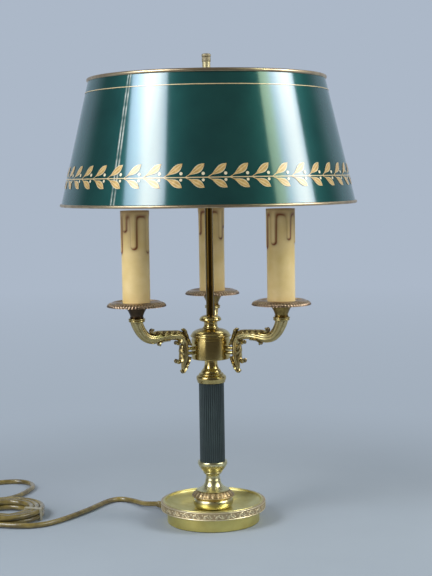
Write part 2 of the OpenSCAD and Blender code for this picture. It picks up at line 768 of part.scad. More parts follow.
module thumbscrew() {
  head = collar_d / 2 + 1.2;
  color("#a8935a")
    translate([0, 0, screw_z]) {
      translate([rod_d / 2 + slide_fit, 0, 0]) rotate([0, 90, 0])
        cylinder(r = 2, h = head - rod_d / 2, $fn = 32);
      translate([head, 0, 0]) rotate([0, 90, 0]) cylinder(r1 = 3.6, r2 = 3, h = 2.4);
      translate([head + 2.2, 0, 0]) rotate([90, 0, 0]) translate([0, 0, -1.2])
        linear_extrude(2.4)
          union() {
            translate([0, -2.6]) square([5, 5.2]);
            for (s = [-1, 1]) translate([5.5, s * (wing_r - 0.6)]) circle(r = wing_r, $fn = 40);
          }
    }
}

// ---- Cord and what is on it ----

module cord_tube(points) {
  sweep(points, [for (p = points) [cord_r, cord_r]], 8);
}

module cord_run() {
  out = skirt_r + relief_l;
  start = [out * cos(cord_turn), out * sin(cord_turn), relief_z];
  color("#8a7a45") cord_tube(concat([start], ROUTE));
}

module cord_coil() {
  half = 1.5 * cord_d;
  color("#8a7a45") translate([coil_x, coil_y, tie_t])
    rotate_extrude()
      polygon([[coil_mid - half, 1.6], [coil_mid - half + 1.6, 0], [coil_mid + half - 1.6, 0],
        [coil_mid + half, 1.6], [coil_mid + half, 2 * cord_d - 1.6],
        [coil_mid + half - 1.6, 2 * cord_d], [coil_mid - half + 1.6, 2 * cord_d],
        [coil_mid - half, 2 * cord_d - 1.6]]);
}

module cord_tie() {
  half = 1.5 * cord_d + 0.1;
  color("#d8d6cc") translate([coil_x, coil_y, 0]) rotate(-20) translate([coil_mid, 2, 0])
    rotate([90, 0, 0]) linear_extrude(4)
      difference() {
        translate([-half - tie_t, 0]) square([2 * (half + tie_t), 2 * (cord_d + tie_t)]);
        translate([-half, tie_t]) square([2 * half, 2 * cord_d + face]);
      }
}

module cord_tail() {
  far = switch_y - switch_l / 2;
  color("#8a7a45") {
    cord_tube(TAIL);
    cord_tube([[switch_x, far, switch_axis_z], [switch_x, far - 6, 7.6],
      [switch_x, (far + plug_y) / 2, 7.2], [switch_x, plug_y + 5, 7],
      [switch_x, plug_y, plug_h / 2]]);
  }
}

module switch_outline(inset) {
  offset(r = 6) offset(delta = -6 - inset) square([switch_w, switch_l], center = true);
}

module switch_base() {
  color("#7a4a22") translate([switch_x, switch_y, 0])
    difference() {
      linear_extrude(switch_h * 0.45) switch_outline(0);
      translate([0, 0, 2]) linear_extrude(switch_h) switch_outline(2);
      for (s = [-1, 1]) translate([0, s * switch_l / 2, switch_axis_z]) rotate([90, 0, 0])
        cylinder(r = cord_r + 0.1, h = 12, center = true, $fn = 32);
    }
}

module switch_cover() {
  z = switch_h * 0.45;
  color("#7a4a22") translate([switch_x, switch_y, 0])
    difference() {
      union() {
        translate([0, 0, z]) linear_extrude(switch_h - z - 1.6) switch_outline(0);
        translate([0, 0, switch_h - 1.6]) linear_extrude(1.6) switch_outline(1.2);
      }
      translate([0, 0, z - 1]) linear_extrude(switch_h - z - 1) switch_outline(2);
      translate([-6.3, -10.3, 0]) cube([12.6, 20.6, 30]);
      for (s = [-1, 1]) translate([0, s * switch_l / 2, switch_axis_z]) rotate([90, 0, 0])
        cylinder(r = cord_r + 0.1, h = 12, center = true, $fn = 32);
    }
  color("#7a4a22") translate([switch_x, switch_y, rocker_z]) rotate([0, 90, 0])
    cylinder(r = 1.15, h = switch_w - 3.6, center = true, $fn = 24);
}

// The rocker turns about a pin across the switch; it rests tilted one way
module switch_rocker() {
  color("#8f5a2c") translate([switch_x, switch_y, rocker_z]) rotate([rocker_tilt / 2, 0, 0])
    difference() {
      rotate([0, 90, 0]) translate([0, 0, -6]) linear_extrude(12)
        polygon([[3.6, -9], [-5.8, -9.4], [-4.9, -4.6], [-4.6, 0], [-4.9, 4.6], [-5.8, 9.4],
          [3.6, 9]]);
      rotate([0, 90, 0]) cylinder(r = 1.2, h = 20, center = true, $fn = 24);
    }
}

module plug_body() {
  w = plug_w / 2;
  color("#8a7a45") translate([switch_x, plug_y, 0])
    difference() {
      linear_extrude(plug_h)
        polygon([[-4.5, 0], [4.5, 0], [8, -7], [w, -20], [w, -plug_l + 4], [w - 5, -plug_l],
          [5 - w, -plug_l], [-w, -plug_l + 4], [-w, -20], [-8, -7]]);
      for (s = [-1, 1]) translate([s * 9.5, -plug_l + 6, plug_h / 2]) rotate([90, 0, 0])
        cylinder(r = 2.02, h = 10, $fn = 32);
    }
}

module plug_pins() {
  color("#b8b8b2")
    for (s = [-1, 1])
      translate([switch_x + s * 9.5, plug_y - plug_l + 6, plug_h / 2]) rotate([90, 0, 0]) {
        cylinder(r = 2, h = 24, $fn = 32);
        translate([0, 0, 24]) sphere(r = 2, $fn = 32);
      }
}

felt_pad();
base_weight();
base_skirt();
base_tray();
base_border();
strain_relief();
foot_knop();
leaf_collar();
foot_bell();
lower_cup();
column_sleeve();
upper_bell();
stem_tube();
stem_nuts();
hub_drum();
hub_cap();
hub_terminal();
inner_lead();
rod_socket();
centre_rod();
rod_cap();
arm(ARMS[0][1]);  // arm_left
arm(ARMS[1][1]);  // arm_right
arm(ARMS[2][1]);  // arm_back
arm_bar_nuts();
arm_nipples();
candle_cup(ARMS[0][1]);  // candle_cup_left
candle_cup(ARMS[1][1]);  // candle_cup_right
candle_cup(ARMS[2][1]);  // candle_cup_back
drip_pan(ARMS[0][1]);  // drip_pan_left
drip_pan(ARMS[1][1]);  // drip_pan_right
drip_pan(ARMS[2][1]);  // drip_pan_back
lampholder(ARMS[0][1]);  // lampholder_left
lampholder(ARMS[1][1]);  // lampholder_right
lampholder(ARMS[2][1]);  // lampholder_back
screw_shell(ARMS[0][1]);  // screw_shell_left
screw_shell(ARMS[1][1]);  // screw_shell_right
screw_shell(ARMS[2][1]);  // screw_shell_back
candle_sleeve(ARMS[0][1]);  // candle_sleeve_left
candle_sleeve(ARMS[1][1]);  // candle_sleeve_right
candle_sleeve(ARMS[2][1]);  // candle_sleeve_back
shade_cone();
shade_crown_bead();
shade_hem_bead();
spider();
slide_collar();
collar_nut();
thumbscrew();
cord_run();
cord_coil();
cord_tail();
cord_tie();
switch_base();
switch_cover();
switch_rocker();
plug_body();
plug_pins();
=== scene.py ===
"""A three-light bouillotte table lamp, put together from the foot up."""
import math
import bpy
import bmesh
import numpy as np
from mathutils import Matrix


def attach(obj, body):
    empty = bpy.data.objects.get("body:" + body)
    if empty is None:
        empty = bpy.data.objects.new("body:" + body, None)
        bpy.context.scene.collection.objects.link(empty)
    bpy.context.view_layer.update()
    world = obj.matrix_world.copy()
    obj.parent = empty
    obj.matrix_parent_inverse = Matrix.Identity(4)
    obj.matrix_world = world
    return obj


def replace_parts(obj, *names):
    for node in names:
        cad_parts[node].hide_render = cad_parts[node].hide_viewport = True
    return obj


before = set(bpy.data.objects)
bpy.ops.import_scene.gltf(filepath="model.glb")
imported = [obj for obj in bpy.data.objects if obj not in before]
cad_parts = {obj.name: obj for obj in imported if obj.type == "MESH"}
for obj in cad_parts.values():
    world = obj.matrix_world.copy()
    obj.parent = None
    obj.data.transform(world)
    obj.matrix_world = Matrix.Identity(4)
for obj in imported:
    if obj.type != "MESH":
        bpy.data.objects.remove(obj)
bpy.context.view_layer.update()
MM = 0.001

# ---- Camera ----
# A 78 mm lens 1.2 m in front of the column and 334 mm above the table, looking
# 5 degrees down. It is rolled by a degree, so that the lamp stands a little askew.
camera = bpy.data.objects.new("camera", bpy.data.cameras.new("camera"))
bpy.context.scene.collection.objects.link(camera)
camera.data.lens = 78.2
camera.data.sensor_width = 36
camera.matrix_world = (
    Matrix.Translation((0.0059, -1.2, 0.3336))
    @ Matrix.Rotation(math.radians(90 - 5.03), 4, "X")
    @ Matrix.Rotation(math.radians(-0.885), 4, "Z")
)
bpy.context.scene.camera = camera
bpy.context.scene.view_settings.view_transform = "Standard"

# ---- Mains cord ----
# A round 5.3 mm lead in gold-tinted PVC over a copper weave, 1.8 m long. It
# leaves the back of the foot, lies in loose curves on the table, keeps its
# spare length in a tied coil, and runs on through the switch to the plug.


def linear(code):
    """An sRGB hex colour as linear red, green, blue and alpha:
    c / 12.92 below 0.04045, otherwise ((c + 0.055) / 1.055) to the power 2.4."""
    rgb = [int(code[i:i + 2], 16) / 255 for i in (1, 3, 5)]
    return [c / 12.92 if c <= 0.04045 else ((c + 0.055) / 1.055) ** 2.4 for c in rgb] + [1.0]


def add(tree, kind, inputs=(), stops=(), to=None, **options):
    """Adds a shader node: sets its options, gives each (socket, value, output or node) to
    its inputs, sets a colour ramp's (position, hex colour) stops, and links it to a socket,
    or to the Principled shader's socket of that name. A node links by its first output in
    use."""
    made = tree.nodes.new("ShaderNode" + kind)
    for key, value in options.items():
        setattr(made, key, value)
    for key, value in inputs:
        if isinstance(value, bpy.types.Node):
            value = next(out for out in value.outputs if out.enabled)
        if isinstance(value, bpy.types.NodeSocket):
            tree.links.new(value, made.inputs[key])
        else:
            made.inputs[key].default_value = value
    for place, (position, code) in enumerate(stops):
        edges = made.color_ramp.elements
        edge = edges[place] if place < 2 else edges.new(position)
        edge.position, edge.color = position, linear(code)
    if to:
        socket = tree.nodes["Principled BSDF"].inputs[to] if isinstance(to, str) else to
        tree.links.new(next(out for out in made.outputs if out.enabled), socket)
    return made


def surface(name, low, high, scale, detail, bump=0.0, ends=(0.3, 0.7), **sockets):
    """A material whose colour wanders from low to high in clouds, scale of them to the
    metre, which also roughen it by bump metres. Gives back the material, its node tree,
    the Object coordinates, the clouds and their colour."""
    made = bpy.data.materials.new(name)
    made.use_nodes = True
    tree = made.node_tree
    for key, value in sockets.items():
        tree.nodes["Principled BSDF"].inputs[key.replace("_", " ")].default_value = value
    where = add(tree, "TexCoord").outputs["Object"]
    cloud = add(tree, "TexNoise", [("Vector", where), ("Scale", scale), ("Detail", detail)])
    colour = add(tree, "ValToRGB", [("Fac", cloud)], stops=list(zip(ends, (low, high))), to="Base Color")
    if bump:
        add(tree, "Bump", [("Height", cloud), ("Distance", bump)], to="Normal")
    return made, tree, where, cloud, colour


def skin(name, grids, body, material, along=True, sharp=40, relief=None):
    """A mesh over grids of points in mm, rows by columns: each four neighbours make a
    face, and the last column joins the first. along joins the last row to the first,
    one answer or one for each grid. Faces are turned outwards by the sign of the grid's
    volume, and points that fall together at a pole are merged. relief is a number per
    point."""
    grids = [grids] if isinstance(grids, np.ndarray) else grids
    along = along if isinstance(along, list) else [along] * len(grids)
    points, faces, start = [], [], 0
    for grid, closed in zip(grids, along):
        rows, columns = grid.shape[:2]
        index = np.arange(rows * columns).reshape(rows, columns)
        index = np.concatenate([index, index[:, :1]], 1)
        if closed:
            index = np.concatenate([index, index[:1]], 0)
        quads = np.stack([index[:-1, :-1], index[:-1, 1:], index[1:, 1:], index[1:, :-1]], -1).reshape(-1, 4)
        flat = grid.reshape(-1, 3)
        a, b, c, d = (flat[quads[:, k]] - flat.mean(0) for k in range(4))
        if (np.cross(a, b) * c + np.cross(a, c) * d).sum() < 0:
            quads = quads[:, ::-1]
        points.append(flat * MM)
        faces.append(quads + start)
        start += rows * columns
    mesh = bpy.data.meshes.new(name)
    mesh.from_pydata(np.concatenate(points), [], np.concatenate(faces).tolist())
    if relief is not None:
        layer = mesh.attributes.new("relief", "FLOAT", "POINT")
        shades = [relief] if isinstance(relief, np.ndarray) else relief
        layer.data.foreach_set("value", np.concatenate([np.ravel(s) for s in shades]).astype(np.float32))
    work = bmesh.new()
    work.from_mesh(mesh)
    bmesh.ops.remove_doubles(work, verts=work.verts, dist=2e-6)
    bmesh.ops.dissolve_degenerate(work, edges=work.edges, dist=1e-7)
    work.to_mesh(mesh)
    work.free()
    mesh.shade_smooth()
    mesh.set_sharp_from_angle(angle=math.radians(sharp))
    mesh.materials.append(material)
    made = bpy.data.objects.new(name, mesh)
    bpy.context.scene.collection.objects.link(made)
    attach(made, body)
    return made


def flow(points, step):
    """A smooth curve through points, a Catmull-Rom spline, as points step mm apart."""
    p = np.asarray(points, float)
    p = np.vstack([2 * p[0] - p[1], p, 2 * p[-1] - p[-2]])
    t = np.linspace(0, 1, 24, endpoint=False)[None, :, None]
    a, b, c, d = (p[i:len(p) - 3 + i, None] for i in range(4))
    fine = 0.5 * (2 * b + (c - a) * t + (2 * a - 5 * b + 4 * c - d) * t ** 2
                  + (3 * b - a - 3 * c + d) * t ** 3)
    fine = np.vstack([fine.reshape(-1, p.shape[1]), p[-2]])
    run = np.concatenate([[0], np.cumsum(np.linalg.norm(np.diff(fine, axis=0), axis=1))])
    even = np.linspace(0, run[-1], max(2, int(round(run[-1] / step)) + 1))
    return np.stack([np.interp(even, run, fine[:, k]) for k in range(p.shape[1])], 1)


def heading(path):
    """The unit direction of a path at each of its points."""
    ahead = np.gradient(path, axis=0)
    return ahead / np.linalg.norm(ahead, axis=1)[:, None]


def circle(steps):
    """The angles of that many even steps round a turn, in radians."""
    return np.arange(steps) * 2 * math.pi / steps


def tube(path, radius, sides):
    """Rings of a round tube: path + radius (cos a across + sin a up), with both ends
    drawn in to a point. up is the world's up made square to the path, which may not
    stand upright anywhere."""
    ahead = heading(path)
    across = np.cross(ahead, [0, 0, 1.0])
    across /= np.linalg.norm(across, axis=1)[:, None]
    up = np.cross(across, ahead)
    rows = np.r_[0, 0, np.arange(len(path)), -1, -1]
    size = np.full(len(rows), radius)
    size[[0, -1]] = 0
    size[[1, -2]] *= 0.999
    a = circle(sides)
    return path[rows][:, None] + size[:, None, None] * (
        np.cos(a)[None, :, None] * across[rows][:, None] + np.sin(a)[None, :, None] * up[rows][:, None])


exit_bearing, exit_level = 145, 6.5
exit_turn = math.radians(exit_bearing)
exit_mm = np.array([45 * math.cos(exit_turn), 45 * math.sin(exit_turn), exit_level])
run_mm = [[67 * math.cos(exit_turn), 67 * math.sin(exit_turn), exit_level],
          [-59.7, 41.8, 6.1], [-65.5, 46.8, 4.9], [-71.5, 54, 3.6], [-77.5, 62, 2.9],
          [-84, 69, 2.7], [-91, 74, 2.7], [-98, 75.5, 2.7], [-105, 72, 2.7], [-111.5, 64, 2.7],
          [-117, 53.5, 2.7], [-123, 41.5, 2.7], [-130, 29, 2.7], [-138, 16, 2.7], [-146, 4, 2.7],
          [-154, -6.5, 2.7], [-163, -14.5, 2.7], [-174, -19.5, 2.8], [-187, -20.5, 3.1],
          [-200, -18, 3.4]]
tail_mm = [[-231, 53.5, 8.2], [-223, 67, 5.9], [-214, 81, 3.6], [-205.5, 97, 2.75],
           [-199, 115, 2.7], [-196, 132, 2.7], [-200, 147, 2.7], [-211, 157, 2.7],
           [-226, 158.4, 2.7], [-241, 152, 2.8], [-252, 138, 3.6], [-259, 123, 5.6],
           [-262, 109, 7.6], [-262.5, 98, 8], [-262.5, 69, 8], [-262.5, 40, 8], [-262.5, 34, 7.6],
           [-262.5, 30, 7.2], [-262.5, 25, 7], [-262.5, 20, 6.85]]


def coil(centre, start, turns, pitch, low, middle_r=31, step=10):
    """Turns of a cord wound clockwise, step degrees between points: three side by side
    from the outside in about middle_r, a climb, and three from the inside out on top.
    Each turn keeps its radius for four fifths of the way and shifts by one pitch in the
    last fifth, and the climb bulges 2.6 mm inwards."""
    t = np.arange(0.03, turns, step / 360)
    turn, part = np.floor(t), np.clip((t % 1 - 0.8) / 0.2, 0, 1)
    shift = part * part * (3 - 2 * part)
    place = np.where(t < 3, turn + np.where(turn < 2, shift, 0), 5 - turn - np.where(turn < 5, shift, 0))
    r = middle_r + pitch * (1 - place) - 2.6 * np.sin(math.pi * part) * (turn == 2)
    z = low + pitch * np.where(t < 2, 0, np.where(turn == 2, shift, 1))
    a = start - 2 * math.pi * t
    return np.stack([centre[0] + r * np.cos(a), centre[1] + r * np.sin(a), z], 1)


cord_d = 5.3
wound_mm = coil((-207, 22), math.radians(-100), 6.3, cord_d, 3.45)
cord_path = flow(np.vstack([[exit_mm], run_mm, wound_mm, tail_mm]), 3.5)

# Gold-tinted PVC, extruded: clear to the copper weave under it, so it looks
# brown with a satin gloss, and the weave shows as a faint slanting rib.
pvc, tree, where, *_ = surface("gold_tinted_pvc", "#5c4d27", "#8a773d", 120, 3, Roughness=0.24, IOR=1.53,
                               Coat_Weight=0.6, Coat_Roughness=0.16)
weave = add(tree, "TexWave", [("Vector", where), ("Scale", 260), ("Distortion", 1.5)],
            bands_direction="DIAGONAL")
add(tree, "Bump", [("Height", weave.outputs["Fac"]), ("Distance", 0.0001)], to="Normal")
cord = skin("mains_cord", tube(cord_path, cord_d / 2, 14), "lamp", pvc, along=False)
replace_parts(cord, "cord_run", "cord_coil", "cord_tail")

# The strain relief is a soft PVC sleeve moulded on the lead: a collar that snaps
# into the foot's wall, then a taper with six bending grooves.


def polar(r, angle, level, centre=(0, 0)):
    """Points (centre + r (cos angle, sin angle), level) about an upright axis, from whole
    arrays that fit together."""
    x, y = centre[0] + r * np.cos(angle), centre[1] + r * np.sin(angle)
    return np.stack(np.broadcast_arrays(x, y, level), -1)


def turn(outline, steps, centre=(0, 0)):
    """A turned surface: each outline point (r, level) carried round the upright axis
    through centre."""
    r, level = np.asarray(outline, float).T[..., None]
    return polar(r, circle(steps), level, centre)


def soften(outline, size, closed=True):
    """Rounds an outline's corners: each corner becomes a quadratic curve that starts and
    ends size mm from it, or at four tenths of a shorter side."""
    p = np.asarray(outline, float)
    before, after = np.roll(p, 1, 0), np.roll(p, -1, 0)

    def towards(q):
        gap = np.linalg.norm(q - p, axis=1)[:, None]
        return p + (q - p) * np.minimum(size / np.maximum(gap, 1e-9), 0.4)

    a, c = towards(before)[:, None], towards(after)[:, None]
    t = np.linspace(0, 1, 5)[None, :, None]
    curve = (1 - t) ** 2 * a + 2 * t * (1 - t) * p[:, None] + t ** 2 * c
    if not closed:
        curve[0], curve[-1] = p[0], p[-1]
    return curve.reshape(-1, 2)


def lie(grid, angle, level):
    """Lays a turned surface on its side: its axis points out from the column at
    that angle (degrees) and level, and its z becomes the distance from the column."""
    a = math.radians(angle)
    out, side = np.array([math.cos(a), math.sin(a), 0]), np.array([-math.sin(a), math.cos(a), 0])
    return (grid[..., 2:3] * out + grid[..., 1:2] * side + grid[..., 0:1] * np.array([0, 0, 1.0])
            + np.array([0, 0, level]))


taper = [[2.72, 42.2], [4.7, 42.2], [4.8, 43.3], [3.9, 43.4], [3.9, 45.1], [4.8, 45.2], [4.8, 47.8]]
for groove in range(6):
    at, wide = 49 + 3.1 * groove, 4.7 - 0.22 * groove
    taper += [[wide, at], [wide - 0.7, at + 0.3], [wide - 0.7, at + 1.2], [wide - 0.15, at + 1.5]]
taper += [[3.3, 68.4], [3.0, 69], [2.72, 69]]
taper = lie(turn(soften(taper, 0.25), 40), exit_bearing, exit_level)
sleeve = skin("strain_relief_sleeve", taper, "lamp", pvc, sharp=50)
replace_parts(sleeve, "strain_relief")

# The switch is two shells of amber ABS, moulded and screwed together, with a rocker
# that turns on a pin. Gloss moulding: slight unevenness, bright soft edges.
amber, tree, where, *_ = surface("amber_abs", "#5e3a1c", "#7d5128", 90, 4, Roughness=0.22, IOR=1.54)
grain = add(tree, "TexNoise", [("Vector", where), ("Scale", 1400), ("Detail", 2)])
add(tree, "Bump", [("Height", grain), ("Distance", 0.00008)], to="Normal")


def dress(material, *nodes):
    """Gives CAD nodes their material."""
    for node in nodes:
        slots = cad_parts[node].data.materials
        slots.clear()
        slots.append(material)


dress(amber, "switch_base", "switch_cover")
# The rocker is moulded from a paler amber, with a softer gloss where fingers rub it
paler, *_ = surface("amber_abs_rocker", "#7a4c22", "#966432", 140, 4, bump=0.0001, Roughness=0.26, IOR=1.54)
dress(paler, "switch_rocker")

# The plug is moulded round its two pins in the same gold PVC as the lead. The pins
# are brass with a plated skin of nickel: a warm grey mirror with a faint haze.
dress(pvc, "plug_body")
nickel, *_ = surface("nickel_plated_brass", "#b3aea3", "#cfcac0", 300, 4, bump=0.00003, Metallic=1.0,
                     Roughness=0.22)
dress(nickel, "plug_pins")

# A clear nylon strip holds the coil: cut, wrapped once and heat-sealed. It dulls the
# cord under it and catches the light on its soft waves.
nylon, *_ = surface("clear_nylon", "#b5ac92", "#cbc3ac", 200, 3, bump=0.0002, Roughness=0.3, IOR=1.53,
                    Alpha=0.5)
dress(nylon, "cord_tie")

# ---- Table and light ----
# A matt pale blue-grey sheet that runs on without an edge, a bright window above a
# dimmer one on each side, and an even glow from all round, as in a small day-lit studio.
sheet = bpy.data.meshes.new("table_sheet")
sheet.from_pydata([(-60, -60, 0), (60, -60, 0), (60, 60, 0), (-60, 60, 0)], [], [(0, 1, 2, 3)])
table = bpy.data.objects.new("table_sheet", sheet)
bpy.context.scene.collection.objects.link(table)
# Matt paper, rolled: nearly even, with a soft mottle. Away from the lamp it fades to the
# backdrop's own tone, and near the lamp it keeps its shadow.
backdrop_tone = "#acb8c8"
paper, tree, where, *_ = surface("matt_backdrop_paper", "#979ea5", "#9ca3aa", 6, 6, Roughness=0.9)
far = add(tree, "VectorMath", [(0, where)], operation="LENGTH").outputs["Value"]
fade = add(tree, "MapRange", [("Value", far), ("From Min", 0.1), ("From Max", 0.62)],
           interpolation_type="SMOOTHSTEP")
# To glossy rays the far sheet glows as a painted reflection: the sheet as far as its front
# edge, and a dim room beyond it
ends = add(tree, "SeparateXYZ", [("Vector", where)])
front = add(tree, "MapRange", [("Value", ends.outputs["Y"]), ("From Min", -0.5), ("From Max", -0.38)])
tint = add(tree, "ValToRGB", [("Fac", front)], stops=[(0.0, "#4c4945"), (1.0, backdrop_tone)])
depth = add(tree, "MapRange", [("Value", far), ("From Min", 0.2), ("From Max", 2.6)])
pale = add(tree, "ValToRGB", [("Fac", depth)], stops=[(0.0, "#a0acb9"), (1.0, backdrop_tone)])
seen = add(tree, "LightPath")
tone = add(tree, "Mix", [("Factor", seen.outputs["Is Camera Ray"]), (6, tint), (7, pale)], data_type="RGBA")
glow = add(tree, "Emission", [("Color", tone)])
direct = add(tree, "Math", [(0, seen.outputs["Is Camera Ray"]), (1, seen.outputs["Is Glossy Ray"])],
             operation="MAXIMUM")
amount = add(tree, "Math", [(0, direct), (1, fade)], operation="MULTIPLY")
add(tree, "MixShader", [(0, amount), (1, tree.nodes["Principled BSDF"]), (2, glow)],
    to=tree.nodes["Material Output"].inputs["Surface"])
sheet.materials.append(paper)

sky = bpy.data.worlds.new("studio_air")
sky.use_nodes = True
bpy.context.scene.world = sky
tree = sky.node_tree
tree.nodes.clear()
fill = add(tree, "Background", [("Color", linear("#e8eef4")), ("Strength", 0.4)])
# What polished metal and lacquer mirror: the pale sheet behind and a dim room in front
toward = add(tree, "TexCoord").outputs["Generated"]
split = add(tree, "SeparateXYZ", [("Vector", toward)])
room = add(tree, "MapRange", [("Value", split.outputs["Y"]), ("From Min", 0.32), ("From Max", 0.7)],
           interpolation_type="SMOOTHSTEP")
tint = add(tree, "ValToRGB", [("Fac", room)], stops=[(0.0, "#4e4b48"), (1.0, backdrop_tone)])
mirrored = add(tree, "Background", [("Color", tint), ("Strength", 1.0)])
backdrop = add(tree, "Background", [("Color", linear(backdrop_tone)), ("Strength", 1.0)])
seen = add(tree, "LightPath")
first = add(tree, "MixShader", [(0, seen.outputs["Is Glossy Ray"]), (1, fill), (2, mirrored)])
direct = add(tree, "Math", [(0, seen.outputs["Is Camera Ray"]), (1, seen.outputs["Is Transmission Ray"])],
             operation="MAXIMUM")
whole = add(tree, "MixShader", [(0, direct), (1, first), (2, backdrop)])
add(tree, "OutputWorld", [("Surface", whole)])


def window(name, bearing, distance, wide, high, level, watts, lean, *panes):
    """A window's light: at that bearing from the front (degrees, + to the right) and
    distance from the column, its middle at that level, facing a point 0.25 m above the
    table and leaning by lean degrees. panes are (place, colour) across it, 0 to 1. One
    half of its height is dimmed to 0.62, so that its light falls off softly."""
    light = bpy.data.lights.new(name, "AREA")
    light.shape, light.size, light.size_y, light.energy = "RECTANGLE", wide, high, watts
    light.use_nodes = True
    tree = light.node_tree
    glow = tree.nodes["Emission"]
    spot = add(tree, "NewGeometry").outputs["Parametric"]
    place = add(tree, "SeparateXYZ", [("Vector", spot)])
    add(tree, "ValToRGB", [("Fac", place.outputs["X"])], stops=panes, to=glow.inputs["Color"])
    add(tree, "MapRange", [("Value", place.outputs["Y"]), ("From Min", 0.35), ("From Max", 0.75),
                           ("To Min", 0.62)], to=glow.inputs["Strength"])
    made = bpy.data.objects.new(name, light)
    bpy.context.scene.collection.objects.link(made)
    a = math.radians(bearing)
    down = math.atan2(level - 0.25, distance)
    made.matrix_world = (Matrix.Translation((math.sin(a) * distance, -math.cos(a) * distance, level))
                         @ Matrix.Rotation(a, 4, "Z")
                         @ Matrix.Rotation(math.pi / 2 - down, 4, "X")
                         @ Matrix.Rotation(math.radians(lean), 4, "Z"))


# The upper windows show bright sky, on the right with a tree, and the lower ones a yard
window("left_sky", -53, 1.05, 0.62, 0.6, 0.86, 20.5, 32,
       (0.0, "#8598ac"), (0.28, "#bccde0"), (0.5, "#ffffff"), (0.76, "#f0f3f8"), (1.0, "#a5b2c4"))
window("left_yard", -52, 1.05, 0.7, 0.5, 0.28, 2.8, 0, (0.0, "#d8d6cc"), (1.0, "#f3f1e6"))
window("right_sky", 70, 1.05, 0.72, 0.6, 0.86, 22, 0,
       (0.0, "#7f8f74"), (0.2, "#9cab90"), (0.34, "#b0bed0"), (0.56, "#f2f4fa"), (0.78, "#ffffff"),
       (1.0, "#b9c6d6"))
window("right_yard", 74, 1.05, 0.6, 0.5, 0.28, 0.95, 0, (0.0, "#f3f1e6"), (1.0, "#d8d6cc"))

# ---- Felt and weight under the foot ----
# A cast iron disc holds the lamp upright, and a glued disc of green wool felt
# keeps the foot off the table. Neither shows unless the lamp is turned over.
# Pressed wool: a dull nap without gloss, its fibres drawn about a millimetre apart
felt, *_ = surface("wool_felt", "#1f3a2b", "#35553f", 900, 6, bump=0.0004, Roughness=0.95)
dress(felt, "felt_pad")
# Poured into sand: grey-brown, dull and pitted 2 mm apart
iron, *_ = surface("sand_cast_iron", "#3a3836", "#5c5955", 500, 5, bump=0.0003, Metallic=1.0, Roughness=0.62)
dress(iron, "base_weight")

# ---- Foot: drum and tray ----
# A drum and a shallow tray, spun from brass sheet over a chuck and polished: fine
# circular marks, a satin floor that the cloth didn't reach and a rolled bright lip.


def brass(name, bright, dull, patch, rough, grain=0.0, relief=None, marks=0.0):
    """A brass finish. bright and dull are mixed in clouds patch mm across. grain is the
    depth in mm of a fine skin, and marks the strength of turning rings about the
    upright axis. relief gives (depth colour, edge colour) for the piece's relief
    attribute, 0 in its hollows and 1 on its ridges. Rings and skin are drawn about five
    times as coarse as they are, so that they show."""
    made, tree, where, cloud, colour = surface(name, dull, bright, 1000 / patch, 5, ends=(0.32, 0.68),
                                               Metallic=1.0)
    cloud.inputs["Roughness"].default_value = 0.6
    if relief:
        height = add(tree, "Attribute", attribute_name="relief").outputs["Fac"]
        depth = add(tree, "MapRange", [("Value", height), ("From Max", 0.45)],
                    interpolation_type="SMOOTHSTEP")
        low = add(tree, "Mix", [("Factor", depth), (6, linear(relief[0])), (7, colour)], data_type="RGBA")
        edge = add(tree, "MapRange", [("Value", height), ("From Min", 0.6), ("To Max", 0.6)])
        add(tree, "Mix", [("Factor", edge), (6, low), (7, linear(relief[1]))], data_type="RGBA",
            to="Base Color")
    add(tree, "MapRange", [("Value", cloud), ("From Min", 0.3), ("From Max", 0.7),
                           ("To Min", rough * 1.35), ("To Max", rough * 0.8)], to="Roughness")
    if marks:
        split = add(tree, "SeparateXYZ", [("Vector", where)])
        flat = add(tree, "CombineXYZ", [("X", split.outputs["X"]), ("Y", split.outputs["Y"])])
        away = add(tree, "VectorMath", [(0, flat)], operation="LENGTH").outputs["Value"]
        lathe = add(tree, "CombineXYZ", [("X", away), ("Z", split.outputs["Z"])])
        rings = add(tree, "TexNoise", [("Vector", lathe), ("Scale", 2500), ("Detail", 2)])
        add(tree, "Bump", [("Height", rings), ("Distance", 0.00004), ("Strength", marks)], to="Normal")
    elif grain:
        pores = add(tree, "TexNoise", [("Vector", where), ("Scale", 1600), ("Detail", 4)])
        add(tree, "Bump", [("Height", pores), ("Distance", grain * MM)], to="Normal")
    return made


spun = brass("spun_brass_sheet", "#ecdc88", "#dac878", 18, 0.36, marks=0.8)
floor_brass = brass("satin_spun_brass", "#e8dc9a", "#cfc078", 22, 0.38, marks=0.7)
drum = [[43.8, 0.5], [45, 0.5], [45, 12.5], [39, 12.5], [39, 11.3], [43.8, 11.3]]
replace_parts(skin("foot_drum", turn(soften(drum, 0.4), 160), "lamp", spun), "base_skirt")
lip_a = np.radians(np.linspace(-90, 200, 20))
lip = np.stack([47.7 + np.cos(lip_a), 20.4 + np.sin(lip_a)], 1)
cove = flow([[46.5, 19.4], [44.8, 17.9], [42.4, 16.3], [39.0, 14.9], [35.2, 14.05], [31, 13.75],
             [28, 13.7]], 0.8)
tray = np.vstack([[[5, 12.52], [48.5, 12.52], [48.7, 12.8], [48.7, 20.0]], lip[5:], cove, [[5, 13.7]]])
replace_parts(skin("foot_tray", turn(tray, 200), "lamp", floor_brass, sharp=50), "base_tray")

# ---- Foot: cast border ----
# A strip of cast brass with running leaf scrolls between two plain fillets, soldered
# round the tray. Old lacquer fills its hollows brown and its tops are rubbed bright.


def hill(x, y, cx, cy, long, wide, turned):
    """A rounded hill: 1 at its middle, 0 outside the ellipse of those half axes that
    is turned by that many degrees. Works on whole arrays."""
    a = math.radians(turned)
    u = ((x - cx) * math.cos(a) + (y - cy) * math.sin(a)) / long
    v = (-(x - cx) * math.sin(a) + (y - cy) * math.cos(a)) / wide
    return np.clip(1 - u * u - v * v, 0, 1) ** 0.6


